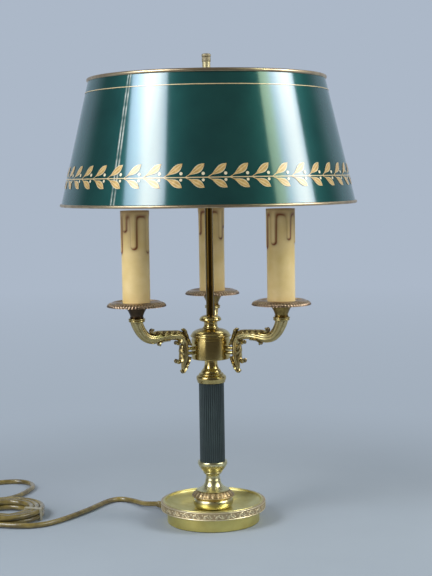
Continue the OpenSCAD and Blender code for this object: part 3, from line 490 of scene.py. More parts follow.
cast = brass("chased_cast_brass", "#f0e2b8", "#dac89c", 9, 0.42, grain=0.04,
             relief=("#c4aa84", "#f6e8ca"))
repeats, steps = 28, 26
rows = 34
across_mm = 2 * math.pi * 51 / repeats
around_a = circle(repeats * steps)
cell = (np.arange(repeats * steps) % steps / steps - 0.5) * across_mm
outer_z = np.linspace(12.95, 20.65, rows)
x, y = np.meshgrid(cell, outer_z - 16.8)
work = np.zeros_like(x)
for wrap in (-across_mm, 0, across_mm):
    for part in ((-2.6, -0.4, 2.1, 0.62, 62), (-0.9, 0.5, 2.0, 0.6, 40), (0.8, -0.5, 1.9, 0.6, 128),
                 (2.9, 0.4, 2.1, 0.62, 112), (4.3, -1.2, 0.75, 0.75, 0), (-4.4, 1.1, 0.75, 0.75, 0),
                 (0.2, 1.7, 1.0, 0.5, 0), (-2.0, -1.8, 1.1, 0.5, 20), (2.6, -1.8, 1.1, 0.5, -20)):
        work = np.maximum(work, hill(x - wrap, y, *part))
fillet = np.clip((np.abs(y) - 2.7) / 0.35, 0, 1) * np.clip((3.85 - np.abs(y)) / 0.3, 0, 1)
work = np.maximum(work, fillet * 0.9)
radius = 50.65 + 0.45 * work
grid = polar(radius, around_a, outer_z[:, None])
back = turn([[48.8, 20.7], [48.8, 12.9]], repeats * steps)
border = skin("foot_border", np.concatenate([grid, back]), "lamp", cast, sharp=75,
              relief=np.concatenate([work, np.full((2, repeats * steps), 0.3)]))
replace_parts(border, "base_border")

# ---- Foot: knop, leaf collar and bell ----
# Turned brass pieces threaded on the stem: a fat polished knop, a cast collar of small
# leaves with a plain lip, and a flared bell.
turned = brass("turned_polished_brass", "#e4dcae", "#cdc290", 16, 0.28, marks=0.6)
arc_a = np.radians(np.linspace(-80, 70, 14))
round_side = np.stack([14.9 + 4.6 * np.cos(arc_a), 19.2 + 5.5 * np.sin(arc_a)], 1)
knop = np.vstack([[[5, 13.75], [14.2, 13.75]], round_side, [[16.2, 24.65], [5, 24.65]]])
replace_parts(skin("foot_knop_turned", turn(knop, 128), "lamp", turned), "foot_knop")

leaves, steps = 26, 14
angle = circle(leaves * steps)
line = flow([[20.0, 24.72], [20.7, 25.2], [20.65, 25.9], [19.9, 26.5], [19.6, 27.0], [18.6, 28.3],
             [17.0, 29.8], [16.3, 30.45]], 0.4)
rows = len(line)
x, y = np.meshgrid((np.arange(leaves * steps) % steps / steps - 0.5) * 2, np.linspace(0, 1, rows))
blade = np.clip(1 - (np.abs(x) / (0.25 + 0.75 * np.clip((y - 0.22) / 0.5, 0, 1))) ** 2, 0, 1)
rib = 0.35 * np.exp(-(x / 0.12) ** 2) - 0.22 * np.cos(26 * y - 7 * np.abs(x)) * (np.abs(x) > 0.1)
height = np.clip(0.55 * blade + rib, 0, 1) * np.clip((y - 0.24) / 0.08, 0, 1) * np.clip((1 - y) / 0.08, 0, 1)
lipped = np.where(y < 0.24, 0.85, height)
r = line[:, :1] - 0.2 * (y > 0.2) + 0.32 * height
grid = polar(r, angle, line[:, 1:] + 0.14 * height)
inner = turn([[6, 30.48], [6, 24.72]], leaves * steps)
# Cast and chased like the border, but a redder bronze, dark between its leaves
bronze = brass("chased_cast_bronze", "#c8b084", "#aa9268", 8, 0.42, grain=0.04,
               relief=("#8f7650", "#d8c49a"))
collar = skin("foot_leaf_collar", np.concatenate([grid, inner]), "lamp", bronze,
              sharp=75, relief=np.concatenate([lipped, np.full((2, leaves * steps), 0.4)]))
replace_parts(collar, "leaf_collar")

bell = flow([[15.9, 30.75], [16.0, 31.1], [15.2, 31.6], [13.1, 32.5], [10.1, 34.7], [8.4, 37.1],
             [7.5, 39.5], [7.35, 40.55]], 0.5)
bell = np.vstack([[[5, 30.55], [15.6, 30.55]], bell, [[5, 40.6]]])
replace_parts(skin("foot_bell_turned", turn(bell, 128), "lamp", turned), "foot_bell")

# ---- Column and its turned ends ----
# A brass tube rolled with 36 fine reeds and stove-enamelled a dark green-grey. It
# sits in a turned cup below and under a turned bell above.
cup = np.vstack([[[5, 40.65], [7.1, 40.65], [7.3, 41.0], [6.9, 41.9]],
                 flow([[6.75, 42.4], [6.6, 44.3], [6.9, 46.1]], 0.5),
                 flow([[7.6, 46.7], [8.6, 47.2], [9.2, 48.0], [9.0, 48.7]], 0.4),
                 flow([[9.4, 49.4], [10.6, 50.6], [12.2, 52.7], [13.6, 54.9], [14.2, 56.6]], 0.5),
                 [[14.3, 57.2], [14.3, 58.9], [14.0, 59.35], [12.3, 59.4], [12.3, 58.0], [5, 58.0]]])
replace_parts(skin("column_cup", turn(cup, 128), "lamp", turned), "lower_cup")


def by_relief(tree, hollow, ridge):
    """Colours a material by its piece's relief attribute: hollow's at 0, ridge's at 1."""
    height = add(tree, "Attribute", attribute_name="relief").outputs["Fac"]
    add(tree, "Mix", [("Factor", height), (6, hollow), (7, ridge)], data_type="RGBA", to="Base Color")


# Enamel sprayed and stoved: a silky skin, darker in the hollows between the reeds
enamel, tree, where, _, colour = surface("stoved_enamel", "#2a3435", "#364342", 60, 5, Roughness=0.38,
                                         IOR=1.5)
by_relief(tree, linear("#1d2526"), colour)
orange_peel = add(tree, "TexNoise", [("Vector", where), ("Scale", 700), ("Detail", 3)])
add(tree, "Bump", [("Height", orange_peel), ("Distance", 0.00006)], to="Normal")
reeds, steps = 36, 14
angle = circle(reeds * steps)
crest = np.abs(np.cos(angle * reeds / 2)) ** 0.7
levels = np.array([58.2, 59.5, 61, 75, 90, 105, 120, 134.5, 136.3, 137.8])
shell = polar(11.55 + 0.65 * crest, angle, levels[:, None])
bore = turn([[9, 137.8], [9, 58.2]], reeds * steps)
reeding = np.concatenate([np.broadcast_to(crest, shell.shape[:2]), np.zeros((2, len(angle)))])
column = skin("reeded_column", np.concatenate([shell, bore]), "lamp", enamel,
              sharp=60, relief=reeding)
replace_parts(column, "column_sleeve")

# The upper pieces keep their old varnish, clear over a deeper, browner brass
aged = brass("aged_lacquered_brass", "#d6c284", "#b09a60", 10, 0.2, marks=0.5)
bell = np.vstack([[[12.3, 138.0], [12.3, 136.62], [13.3, 136.62], [13.5, 136.9], [13.6, 137.7]],
                  flow([[13.8, 138.3], [14.4, 139.8], [14.5, 141.2], [14.2, 142.6], [13.3, 143.6]], 0.35),
                  [[12.3, 143.9]], flow([[11.9, 144.1], [12.05, 144.8], [11.6, 145.5], [10.7, 145.9]], 0.3),
                  flow([[10.0, 146.1], [9.9, 147.0], [9.0, 148.6], [7.7, 150.1], [6.9, 151.9], [6.4, 153.8],
                        [6.25, 156], [6.3, 158]], 0.6),
                  [[7.1, 158.6], [7.2, 159.65], [5, 159.65], [5, 138.0]]])
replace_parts(skin("column_bell", turn(bell, 128), "lamp", aged), "upper_bell")

# A threaded steel tube runs through everything from the foot to the rod socket, with a
# nut under the foot and one in the hub; zinc plating gives both a dull blue grey.
zinc, *_ = surface("zinc_plated_steel", "#8e8f8c", "#b2b3ae", 260, 4, bump=0.00005, Metallic=1.0,
                   Roughness=0.42)
dress(zinc, "stem_tube", "stem_nuts", "arm_bar_nuts", "arm_nipples")

# ---- Hub ----
# A spun brass drum that carries the arms, its domed cap and the turned socket
# of the rod. Inside are the lead from the foot and a terminal block.
drum = [[5, 159.7], [17.9, 159.7], [18.75, 160.4], [18.75, 178.7], [18.35, 179.0], [18.35, 181.15],
        [16.95, 181.15], [16.95, 161.5], [5, 161.5]]
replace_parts(skin("hub_drum_spun", turn(soften(drum, 0.35), 160), "lamp", aged), "hub_drum")
cap = np.vstack([[[16.85, 181.22], [19.2, 181.22], [19.6, 181.6], [19.65, 182.5], [19.3, 183.0],
                  [18.6, 183.3]],
                 flow([[18.7, 183.7], [18.2, 184.6], [16.9, 186.1], [14.7, 187.5], [11.6, 188.6],
                       [9.0, 189.0], [7.9, 189.5]], 0.5),
                 [[7.4, 189.75], [5, 189.75], [5, 186.2], [11, 186.2]]])
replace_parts(skin("hub_cap_spun", turn(cap, 160), "lamp", aged), "hub_cap")
socket = np.vstack([[[4.95, 189.85], [7.6, 189.85]],
                    flow([[7.5, 190.1], [6.6, 191.3], [6.15, 193.2], [6.3, 195.3]], 0.4),
                    [[6.9, 195.9], [8.6, 196.2]],
                    flow([[9.7, 196.4], [10.6, 197.1], [10.65, 198.1], [9.6, 199.9], [7.3, 201.3],
                          [4.6, 201.95]], 0.35),
                    [[3.87, 202.0], [3.87, 191.4], [4.95, 191.3]]])
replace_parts(skin("rod_socket_turned", turn(socket, 112), "lamp", aged), "rod_socket")

# The terminal block and the lampholders are moulded in ivory urea plastic, matt
# with a faint mottle.
urea, *_ = surface("ivory_urea_plastic", "#d6ceb9", "#e4dcc8", 130, 4, bump=0.00015, Roughness=0.5, IOR=1.6)
dress(urea, "hub_terminal")
dress(pvc, "inner_lead")

# ---- Centre rod ----
# A drawn brass rod screwed into the socket, polished along its length, with a
# small turned cap on its upper end that stops the shade's collar.
rod_brass, tree, where, streak, painted_shade_tone = surface("drawn_brass_rod", "#5d4922", "#735d2f", 500, 3,
                                                 bump=0.00002, Metallic=1.0)
add(tree, "Mapping", [("Vector", where), ("Scale", (1.0, 1.0, 0.03))], to=streak.inputs["Vector"])
painted_lit_tone = add(tree, "ValToRGB", [("Fac", streak)], stops=[(0.3, "#ab9f7a"), (0.7, "#bcb08a")])
# Up into the shade the rod is painted dark brown, a painted shadow of the shade, and near and
# above the shade's top it turns to a paler painted lit tone on dull brass
split = add(tree, "SeparateXYZ", [("Vector", where)])
height = add(tree, "MapRange", [("Value", split.outputs["Z"]), ("From Min", 0.38), ("From Max", 0.42)])
add(tree, "Mix", [("Factor", height), (6, painted_shade_tone), (7, painted_lit_tone)], data_type="RGBA", to="Base Color")
add(tree, "MapRange", [("Value", height), ("To Min", 0.14), ("To Max", 0.55)], to="Roughness")
rod = soften([[0, 191.85], [3.8, 191.85], [3.8, 445.3], [0, 445.3]], 0.3, closed=False)
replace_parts(skin("centre_rod_drawn", turn(rod, 64), "lamp", rod_brass, along=False),
            "centre_rod")
tip = np.vstack([[[0, 445.3], [3.85, 445.3], [3.85, 443.38], [4.05, 443.38], [4.2, 443.6], [4.2, 447.2],
                  [4.0, 447.5], [3.6, 447.6], [3.6, 448.0], [4.35, 448.1]],
                 flow([[4.4, 448.3], [4.4, 449.6], [3.6, 450.8], [0, 451.3]], 0.3)])
# Turned and left bare: a greyish brass that years in the open have made matt
tip_brass = brass("turned_tip_brass", "#b8ac8e", "#a0947a", 5, 0.62, marks=0.2)
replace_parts(skin("rod_cap_turned", turn(tip, 64), "lamp", tip_brass, along=False), "rod_cap")

# ---- Arms ----
# Three S-scrolls cast in brass and chased: a ribbed horn that carries the ring,
# dressed with acanthus leaves whose tips curl free. Two bars on the back go
# through the drum and are held by nuts inside it. The hollows keep old dark lacquer.


def leaf(spine, face, wide, wrap, lobes, thick):
    """A cast leaf in the arm's plane, as a closed sheet with its relief. spine runs
    from base to tip as (out, up) points, and face is 1 where the leaf's face is on the
    left of that run, -1 on the right. Across, it bends round the radius wrap, and it is
    thick mm thick under its relief. At u along (0 to 1) its half width is
    wide sin(pi (0.1 + 0.85 u))^0.6, cut into lobes, with a rib on its middle and a vein
    that fans forward to each lobe."""
    line = flow(spine, 0.42)
    ahead = heading(line)
    normal = face * np.stack([-ahead[:, 1], ahead[:, 0]], 1)
    u, v = np.linspace(0, 1, len(line))[:, None], np.linspace(-1, 1, 21)[None]
    lobe = np.abs(np.sin(math.pi * lobes * u)) ** 0.5
    half = wide * np.sin(math.pi * (0.1 + 0.85 * u)) ** 0.6 * (0.84 + 0.16 * lobe)
    vein = 0.5 - 0.5 * np.cos(2 * math.pi * (lobes * u + 0.8 * (1 - np.abs(v))))
    height = np.maximum(0.34 * np.exp(-(v / 0.14) ** 2), 0.3 * vein * np.clip(np.abs(v) / 0.25, 0, 1))
    height = height + 0.25 * np.abs(v) ** 3 * lobe
    tilt = v * half / wrap
    depth = np.concatenate([wrap + thick / 2 + height, (wrap - thick / 2 + 0 * height)[:, ::-1]], 1)
    tilt = np.concatenate([tilt, tilt[:, ::-1]], 1)
    reach = depth * np.cos(tilt) - wrap
    grid = np.stack([line[:, :1] + normal[:, :1] * reach, depth * np.sin(tilt),
                     line[:, 1:] + normal[:, 1:] * reach], -1)
    shade = np.concatenate([np.clip(0.08 + height * 1.5, 0, 1), np.full_like(height, 0.2)], 1)
    rows = np.r_[0, np.arange(len(line)), len(line) - 1]
    grid, shade = grid[rows], shade[rows]
    grid[[0, -1]] = grid[[0, -1]].mean(1)[:, None]
    return grid, shade


gilt = brass("chased_arm_brass", "#d0be84", "#a9965f", 9, 0.27, grain=0.04, relief=("#74563e", "#dcc69a"))
ring_out = 78
# The horn's middle line, from the ring to the lower end: out, up, half height, half width
horn = flow([[ring_out, 202.9, 6.3, 6.3], [77.9, 199.7, 6.0, 6.0], [76.4, 195.5, 5.6, 5.6],
             [73.2, 189.9, 5.3, 5.3], [68.3, 185.2, 5.0, 5.0], [61.9, 183.2, 4.8, 4.7],
             [55.2, 183.9, 4.6, 4.5], [48.2, 184.9, 4.4, 4.6], [42.3, 185.0, 4.3, 4.5],
             [36.3, 184.4, 4.3, 4.1], [31.2, 181.8, 4.1, 3.8], [28.7, 177.3, 3.8, 3.6],
             [28.2, 171, 3.6, 3.9], [28.2, 165.5, 3.5, 3.8], [28.9, 159.5, 3.1, 3.3],
             [29.9, 154, 2.3, 2.4], [30.2, 150.6, 1.5, 1.5]], 0.75)
ahead = heading(horn[:, :2])
over = np.stack([-ahead[:, 1], ahead[:, 0]], 1)
around = circle(64)
ridge = np.abs(np.cos(around * 4.5 + 0.4)) ** 0.55
swell = 1 - 0.14 * (1 - ridge)[None]
body = np.stack([horn[:, :1] + over[:, :1] * horn[:, 2:3] * swell * np.sin(around),
                 horn[:, 3:] * swell * np.cos(around),
                 horn[:, 1:2] + over[:, 1:] * horn[:, 2:3] * swell * np.sin(around)], -1)
mouth = np.stack([np.stack([ring_out + r * np.sin(around), r * np.cos(around), np.full(64, z)], -1)
                  for r, z in ((0.01, 197.4), (4.05, 197.4), (4.05, 202.9))])
body = np.concatenate([mouth, body, np.broadcast_to(body[-1].mean(0), (1, 64, 3))])
body_shade = np.concatenate([np.full((3, 64), 0.5), np.broadcast_to(0.08 + 0.72 * ridge, (len(horn), 64)),
                             np.full((1, 64), 0.5)])
leaves = [leaf([[31, 187.2], [34.5, 188.5], [39.5, 189.0], [45.5, 189.3], [51.5, 189.6], [56.5, 189.7],
                [59.7, 189.4], [61.8, 189.7], [62.9, 190.8], [62.2, 191.9], [60.9, 191.5]],
               1, 6.2, 5.0, 6, 1.2),
          leaf([[44, 180.6], [48.5, 180.4], [52.4, 179.6], [54.9, 178.3], [55, 177.1], [53.7, 176.9]],
               -1, 4.6, 4.3, 3, 1.2),
          leaf([[21.6, 174.2], [23.3, 178.3], [25.1, 182.6], [26.3, 186.2], [27.6, 189.2], [29.7, 190.2],
                [31.0, 189.0]], 1, 5.2, 4.4, 4, 1.4),
          leaf([[29.5, 186.5], [33, 182.2], [34.8, 179.1], [36.4, 177.2], [37.6, 178.0], [37.0, 179.5]],
               1, 4.4, 4.2, 3, 1.2),
          leaf([[32.2, 175.5], [33.2, 170.5], [33.1, 166.0], [33.5, 161.9], [35.7, 159.4], [37.7, 160.2],
                [37.1, 162.0]], 1, 4.8, 4.3, 4, 1.6),
          leaf([[22.6, 163.2], [24.0, 158.6], [25.9, 154.4], [28.1, 150.4], [30.6, 148.7], [32.1, 149.8],
                [31.2, 151.3]], -1, 4.2, 3.8, 4, 1.6)]
band = np.vstack([[[4.05, 200.4], [6.6, 200.3]],
                  flow([[7.0, 200.4], [7.75, 201.0], [7.6, 201.9], [7.1, 202.2]], 0.3),
                  flow([[7.1, 202.2], [7.85, 202.6], [7.85, 203.4], [7.2, 203.85]], 0.3), [[4.05, 203.9]]])
bar = soften([[0, 13.9], [1.65, 13.9], [1.65, 27.5], [0, 27.5]], 0.3, closed=False)
parts = [(body, body_shade)] + leaves
for made in (turn(band, 64, (ring_out, 0)), lie(turn(bar, 20), 0, 166.65), lie(turn(bar, 20), 0, 171.15)):
    parts.append((made, np.full(made.shape[:2], 0.55)))
loops = [False] * 7 + [True, False, False]


def swing(grid, angle):
    """Turns points about the upright axis through the column, by an angle in degrees."""
    a = math.radians(angle)
    turned_x = grid[..., 0] * math.cos(a) - grid[..., 1] * math.sin(a)
    turned_y = grid[..., 0] * math.sin(a) + grid[..., 1] * math.cos(a)
    return np.stack([turned_x, turned_y, grid[..., 2]], -1)


arms = {"left": 208.5, "right": 328.5, "back": 88.5}
for side, angle in arms.items():
    made = skin("arm_" + side + "_cast", [swing(grid, angle) for grid, _ in parts], "lamp", gilt,
                along=loops, sharp=55, relief=[shade for _, shade in parts])
    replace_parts(made, "arm_" + side)

# ---- Candle fittings ----
# On each arm's ring stands a turned brass funnel, browned with age, and on that a cast
# drip pan with a beaded edge. A hollow nipple screws through all three into the foot
# of a plastic lampholder with a brass screw shell.
# The funnels differ in tarnish: the left one is nearly black, the others a dull brown. The
# screw shells inside the sleeves are clean, pale and smooth.
sooty = brass("blackened_brass", "#5c4a38", "#3a3026", 7, 0.3, marks=0.3)
tarnished = brass("tarnished_brass", "#a88d50", "#6e5c38", 6, 0.26, marks=0.3)
shell_brass = brass("rolled_shell_brass", "#c9b36a", "#a5914f", 10, 0.25, grain=0.03)
# The pans are reddish, with dark hollows between rubbed bright beads
pan_brass = brass("chased_pan_bronze", "#c6ab8c", "#9f836a", 7, 0.3, grain=0.04,
                  relief=("#63503f", "#e9d6b8"))
funnel = np.vstack([[[4.05, 203.95], [6.3, 203.95]],
                    flow([[6.45, 204.3], [6.6, 204.8], [6.1, 205.5], [6.35, 206.8], [7.0, 208.5],
                          [7.9, 210.4], [8.8, 212.0], [9.5, 213.35], [10.0, 214.8], [10.15, 216.2]], 0.4),
                    [[10.15, 217.35], [4.05, 217.35]]])
beads, steps, bead_r = 56, 10, 26.0
pitch = 2 * math.pi * bead_r / beads
cell = (np.arange(beads * steps) % steps / steps - 0.5) * pitch
out = np.r_[np.linspace(27.9, 22.6, 20), np.linspace(22.3, 13.9, 16), 13.5, 4.05]
rise = np.interp(out, [4, 14.3, 15.2, 17.5, 19.3, 20.5, 21.4, 22.1, 23.0, 24.2, 27.2, 27.9],
                 [1.1, 1.1, 0.8, 0.9, 1.4, 2.2, 2.55, 2.4, 1.8, 1.0, -0.9, -1.5])
round_bead = np.clip(1 - ((out[:, None] - bead_r) / 1.55) ** 2 - (cell[None] / 1.42) ** 2, 0, 1) ** 0.5
fillet = np.clip(1 - ((out - 23.55) / 0.45) ** 2, 0, 1)[:, None] ** 0.5
upper = rise[:, None] + 0.85 * round_bead + 0.3 * fillet
scallop = 0.45 * (1 - np.cos(math.pi * cell / pitch)) * (out[:, None] > 27.4)
under = np.array([[4.05, 0.03], [12, 0.03], [18.3, 0.03], [20.3, 0.0], [22.2, -0.2], [24.5, -1.1],
                  [26.9, -2.1], [27.7, -2.18]])
angle = circle(beads * steps)
pan_r = np.concatenate([np.broadcast_to(under[:, :1], (8, len(angle))), out[:, None] - scallop])
pan_z = np.concatenate([np.broadcast_to(under[:, 1:], (8, len(angle))), upper]) + 217.4
pan_shade = np.concatenate([np.full((8, len(angle)), 0.5),
                            np.where(out[:, None] > 24.2, 0.1 + 0.9 * round_bead, 0.42 + 0.5 * fillet)])

# The sleeves are card tubes dipped in cream resin and dripped by hand, so that thick
# runs hang from the top with brown stain caught along their edges; on one side of each run
# the brown is a painted shade, and over the top it is a painted shadow of the shade. The resin
# is waxy: a soft gloss, and light that goes a few millimetres in.
wax, tree, _, _, colour = surface("dripped_cream_resin", "#dabb78", "#e8cc92", 55, 5, bump=0.0002,
                                  Roughness=0.42, IOR=1.5, Subsurface_Weight=0.12,
                                  Subsurface_Radius=(0.004, 0.003, 0.0015))
by_relief(tree, colour, linear("#7a3c04"))
# Each run of resin: its bearing, its length, and its width at the top and at its end, in mm
runs = {"left": [(268, 32.5, 5.6, 5.0), (194, 36.8, 5.6, 5.2), (337, 36, 5.8, 5.2), (25, 24, 5.4, 4.4),
                 (74, 35, 6.0, 5.0), (112, 19, 5.0, 4.0), (152, 31, 5.8, 5.0), (228, 17, 4.6, 3.6)],
        "right": [(190, 33.5, 5.6, 5.0), (237, 30, 5.8, 4.6), (302, 26.3, 5.2, 3.2), (355, 29.5, 5.8, 4.6),
                  (40, 38, 6.0, 5.2), (88, 21, 5.2, 4.0), (138, 33, 5.8, 5.0)],
        "back": [(206, 25, 5.4, 4.6), (316, 29.7, 5.6, 4.6), (345, 18, 5.0, 4.0), (22, 34, 5.8, 5.0),
                 (68, 24, 5.4, 4.4), (115, 38, 6.0, 5.2), (160, 20, 5.0, 4.0), (258, 14, 4.6, 3.6)]}
depth = np.r_[0.0, 0.25, np.linspace(0.6, 45, 112), np.linspace(47, 85.9, 14)]
sleeve_top, resin_r = 304.5, 13.3
turn_a = circle(208)
for side, angle_out in arms.items():
    centre = ring_out * math.cos(math.radians(angle_out)), ring_out * math.sin(math.radians(angle_out))
    cup_brass = sooty if side == "left" else tarnished
    cup = skin("funnel_" + side, turn(funnel, 80, centre), "lamp", cup_brass)
    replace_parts(cup, "candle_cup_" + side)
    pan = skin("pan_" + side, polar(pan_r, angle, pan_z, centre), "lamp", pan_brass,
               sharp=60, relief=pan_shade)
    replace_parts(pan, "drip_pan_" + side)
    dress(urea, "lampholder_" + side)
    dress(shell_brass, "screw_shell_" + side)
    # How far each point lies inside the resin's rim and runs, in mm, blended where they meet
    inside = 4.6 + 0.5 * np.sin(3 * turn_a + len(side))[None] - depth[:, None]
    for bearing, reach, wide, tip_wide in runs[side]:
        gap = (turn_a - math.radians(bearing) + math.pi) % (2 * math.pi) - math.pi
        low, part = np.maximum(depth[:, None] - reach, 0), np.clip(depth[:, None] / reach, 0, 1)
        near = (wide + (tip_wide - wide) * part) / 2 - np.hypot(resin_r * gap[None], low)
        inside = np.log(np.exp(np.clip(inside, -30, 30) / 1.5) + np.exp(near / 1.5)) * 1.5
    bulk = np.clip((inside + 0.5) / 1.3, 0, 1)
    bulk = bulk * bulk * (3 - 2 * bulk)
    deep = np.clip(depth[:, None] / 28, 0, 1)
    # Brown stain gathers below each edge and at the tips; on one side of each run the brown is
    # a painted shade, and a band of painted shadow from the shade darkens the top
    below, beside = np.gradient(inside, depth, turn_a * resin_r)
    stain_and_shade_weight = np.clip(0.55 - 0.3 * beside - 0.35 * below, 0.2, 1)
    stain_and_shade = (stain_and_shade_weight * (0.7 + 0.3 * deep) * np.exp(-((inside + 0.5) / (0.45 + 0.55 * stain_and_shade_weight)) ** 2)
               + 0.42 * stain_and_shade_weight * np.exp(-((inside - 0.7) / 1.3) ** 2)
               + 0.14 * np.exp(-((inside + 2.0) / 1.5) ** 2)
               + 0.34 * np.clip((9 - depth[:, None]) / 7, 0, 1) + 0.3 * np.exp(-(depth[:, None] / 1.6) ** 2))
    r = 12.98 + 0.52 * bulk - 0.2 * (depth[:, None] < 0.1)
    shell = polar(r, turn_a, sleeve_top - depth[:, None], centre)
    bore = turn([[12.35, 218.6], [12.35, sleeve_top]], len(turn_a), centre)
    sleeve = skin("sleeve_" + side, np.concatenate([shell, bore]), "lamp", wax,
                  sharp=60, relief=np.concatenate([np.clip(stain_and_shade, 0, 1), np.full((2, len(turn_a)), 0.2)]))
    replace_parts(sleeve, "candle_sleeve_" + side)

# ---- Shade ----
# A cone of tinplate, lapped and soldered at the back left, stove-enamelled dark
# green outside and cream inside. A gilt laurel band and a fine line are printed
# on it, and a rolled brass bead grips each edge.


hem_r, hem_level = 140.0, 309.65
crown_r, crown_level = 112.0, 426.65


def cone_point(bearing, level, out):
    """A point out mm off the cone's middle sheet, at a bearing (radians) and level:
    the sheet's radius falls evenly from hem_r at hem_level to crown_r at crown_level."""
    r = hem_r - (hem_r - crown_r) * (level - hem_level) / 117 + out
    return polar(r, bearing, level)


# Clear green varnish over bright tin: a deep colour that lightens to teal at the sides,
# under a hard gloss with a trace of orange peel. Its relief is 1 on the cream inside, and
# nearly so along the lap's two edges, where broken pale lines are a painted highlight.
lacquer, tree, where, _, colour = surface("green_stoved_lacquer", "#16403e", "#1b4a46", 30, 6, Metallic=0.6,
                                          Roughness=0.45, Specular_IOR_Level=0.0,
                                          Specular_Tint=linear("#6cf0f0"), Coat_Weight=1.0,
                                          Coat_Roughness=0.11, Coat_IOR=1.75)
by_relief(tree, colour, linear("#dcd9cc"))
peel = add(tree, "TexNoise", [("Vector", where), ("Scale", 420), ("Detail", 2)])
add(tree, "Bump", [("Height", peel), ("Distance", 0.00008)], to="Normal")
seam = math.radians(-127)
past = np.r_[0, 0.0025, np.linspace(0.004, 0.013, 4), 0.0145, 0.017, np.linspace(0.03, 6.2832, 424)[:-1]]
bearings = seam + past
# The lap is 0.35 mm thick, and along its two edges broken pale lines are a painted highlight
lap = np.interp(bearings - seam, [0, 0.0025, 0.0145, 0.017, 7], [0, 0.35, 0.35, 0, 0])
lap_highlight = np.interp(bearings - seam, [0, 0.0025, 0.004, 0.013, 0.0145, 0.017, 0.03],
                      [0.9, 0.7, 0, 0, 0.6, 0.8, 0])
levels = np.linspace(309.7, 426.6, 157)[:, None]
highlight_breaks = 0.6 + 0.25 * np.sin(levels * 0.31 + 2 * np.sin(levels * 0.11)) + 0.1 * np.sin(levels * 1.1)
outer = cone_point(bearings[None], levels, 0.05 + lap[None])
inner = cone_point(bearings[None], levels[::-13], -0.4 + 0 * lap[None])
inside_and_lap_highlight = np.concatenate([lap_highlight[None] * np.clip(highlight_breaks, 0.15, 1), np.ones((len(inner), len(bearings)))])
cone = skin("shade_cone_lacquered", np.concatenate([outer, inner]), "shade", lacquer,
            relief=inside_and_lap_highlight)
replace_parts(cone, "shade_cone")

# Laurel: a stem with pairs of leaves and berries, printed in gold size and gilt. The
# gilding is worn and cloudy, with pale edges and veins, under the same gloss.
gold, tree, _, _, colour = surface("gilt_print", "#a8823e", "#cba45e", 350, 4, bump=0.00004, Metallic=0.35,
                                   Roughness=0.5, Coat_Weight=0.55, Coat_Roughness=0.11, Coat_IOR=1.75)
by_relief(tree, colour, linear("#ddd0ae"))
sprigs, stem_level, band_r = 44, 334.3, 134
pitch = 2 * math.pi * band_r / sprigs
u = np.linspace(0, 1, 17)[:, None]
v = np.linspace(-1, 1, 9)[None]
rim = np.array([0, 0.35, 0.7, 0.9, 1, 1, 0])[:, None]
spin = circle(16)[None]
film = np.where((u > 0) & (u < 1), 0.46, 0.4) + 0 * v
films, edges = [], []
for sprig in range(sprigs):
    node = sprig * pitch
    for side, (reach, lift, wide) in {1: (16.8, 11.8, 3.0), -1: (16.8, -8.8, 2.9)}.items():
        part = np.clip((u - 0.18) / 0.82, 0, 1)
        half = wide * 6.83 * part ** 1.7 * (1 - part) ** 1.15 * (1 - 0.1 * side * v)
        half = half + 0.35 * (1 - u) * (u > 0)
        slope = math.atan2(lift, reach)
        run, climb = u * math.hypot(reach, lift), -0.5 * side * np.sin(math.pi * u) + v * half
        sheet_out = np.concatenate([film, np.full((17, 9), 0.4)], 1)
        run, climb = run + 0 * v, climb + 0 * run
        run, climb = (np.concatenate([k, k[:, ::-1]], 1) for k in (run, climb))
        films.append(cone_point((node + run * math.cos(slope) - climb * math.sin(slope)) / band_r,
                                stem_level + run * math.sin(slope) + climb * math.cos(slope), sheet_out))
        line = np.clip((np.abs(v) - 0.7) / 0.3, 0, 1) + 0.5 * np.exp(-(v / 0.14) ** 2) + 0 * u
        edges.append(np.clip(np.concatenate([line, line[:, ::-1]], 1), 0, 1))
        size, offset = (1.4, 3.3) if side > 0 else (1.25, -2.2)
        films.append(cone_point((node + 15.7 + size * rim * np.cos(spin)) / band_r,
                                stem_level + offset + size * rim * np.sin(spin),
                                np.where(np.arange(7)[:, None] < 5, 0.47, 0.4) + 0 * spin))
        edges.append(np.ones(rim.shape) + 0 * spin)
ring_a = circle(440)[None]
for level, high in ((stem_level, 0.4), (414.3, 0.34)):
    films.append(cone_point(ring_a, level + high * np.array([-1, -1, 1, 1])[:, None],
                            np.array([0.4, 0.45, 0.45, 0.4])[:, None]))
    edges.append(np.full((4, 440), 0.5))
skin("laurel_band", films, "shade", gold, along=[False] * (4 * sprigs) + [True, True],
     relief=edges)

# The two beads are brass wire rings, drawn with a slit and pressed over the edges: a pale
# warm brass with a plain satin skin
bead_brass = brass("drawn_bead_brass", "#d2bc96", "#a8937a", 12, 0.34, grain=0.02)
for name, node, r, z, size in (("hem_bead", "shade_hem_bead", hem_r, hem_level, 1.4),
                               ("crown_bead", "shade_crown_bead", crown_r, crown_level, 1.7)):
    a = circle(20)
    ring = turn(np.stack([r + size * np.cos(a), z + size * np.sin(a)], 1), 480)
    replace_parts(skin(name, ring, "shade", bead_brass), node)
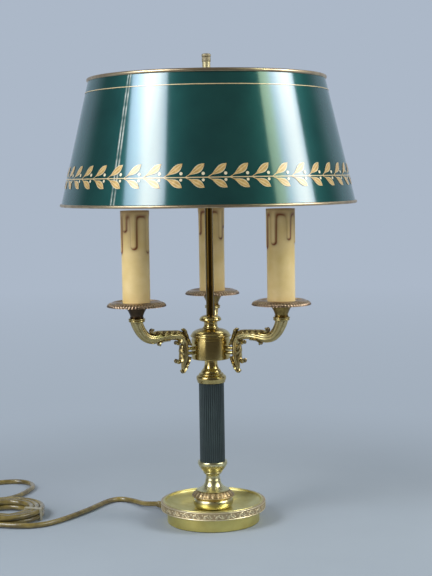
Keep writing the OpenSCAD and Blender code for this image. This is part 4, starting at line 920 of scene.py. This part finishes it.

# ---- Spider, sliding collar and thumbscrew ----
# Three brass wires are brazed from a turned hub to a ring inside the shade. The hub turns on
# the neck of a collar that slides on the rod, held by a nut and a wing screw. Their brass is
# painted darker, a painted shade for their place inside the shade, with fine turning rings.
fitting = brass("turned_fitting_brass", "#bda458", "#937d41", 10, 0.22, marks=0.3)
a = circle(16)
ring_r, spider_level, screw_level = 112.5, 415.65, 404.05
spokes = [turn(np.stack([ring_r + 1.5 * np.cos(a), spider_level + 1.5 * np.sin(a)], 1), 240),
          turn(soften([[5.4, 413.9], [8.7, 413.9], [8.7, 417.4], [5.4, 417.4]], 0.4), 64)]
wire = soften([[0, 7.7], [1.6, 7.7], [1.6, 112.4], [0, 112.4]], 0.2, closed=False)
spokes += [lie(turn(wire, 20), bearing, spider_level) for bearing in (30, 150, 270)]
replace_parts(skin("spider_brazed", spokes, "shade", fitting, along=[True] * 2 + [False] * 3),
            "spider")
collar_line = soften([[3.86, 397.7], [6.5, 397.7], [7.5, 398.5], [7.5, 399.7], [6.8, 400.3], [6.8, 412.1],
                      [7.5, 412.7], [7.5, 413.6], [5.3, 413.6], [5.3, 420.6], [3.86, 420.6]], 0.3)
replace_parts(skin("slide_collar_turned", turn(collar_line, 80), "collar", fitting),
            "slide_collar")
nut = soften([[5.36, 417.7], [8.3, 417.7], [8.3, 420], [7.5, 420.6], [5.36, 420.6]], 0.35)
knurl = turn(nut, 240)
swell = 1 - 0.022 * (np.hypot(knurl[..., 0], knurl[..., 1]) > 8.0) * (1 - np.abs(np.cos(circle(240) * 20)))
knurl[..., :2] *= swell[..., None]
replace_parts(skin("collar_nut_knurled", knurl, "collar", fitting, sharp=60), "collar_nut")
shank = soften([[0, 3.9], [2.0, 3.9], [2.0, 8.6], [3.6, 8.7], [3.1, 11.2], [0, 11.2]], 0.25, closed=False)
spin = circle(40)
wings = []
for s in (-1, 1):
    rows = []
    for inset, side in ((3.6, -0.75), (0.9, -1.2), (0.25, -1.15), (0, -0.6), (0, 0.6), (0.25, 1.15),
                        (0.9, 1.2), (3.6, 0.75)):
        r = 4.15 - inset
        rows.append(np.stack([16.4 + r * np.cos(spin), np.full(40, side),
                              screw_level + 3.6 * s + r * np.sin(spin)], -1))
    rows = [np.broadcast_to(rows[0].mean(0), (40, 3))] + rows + [np.broadcast_to(rows[-1].mean(0), (40, 3))]
    wings.append(np.stack(rows))
web = soften([[10.6, 401.4], [16.4, 401.2], [16.4, 406.9], [10.6, 406.7]], 0.8)
web = np.stack([np.stack([web[:, 0], np.full(len(web), y), web[:, 1]], -1) for y in (-1.0, -1.0, 1.0, 1.0)])
web[[0, -1]] = web[[0, -1]].mean(1)[:, None]
screw = skin("thumbscrew_wings", [lie(turn(shank, 32), 0, screw_level), web] + wings, "thumbscrew",
             fitting, along=False, sharp=50)
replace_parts(screw, "thumbscrew")
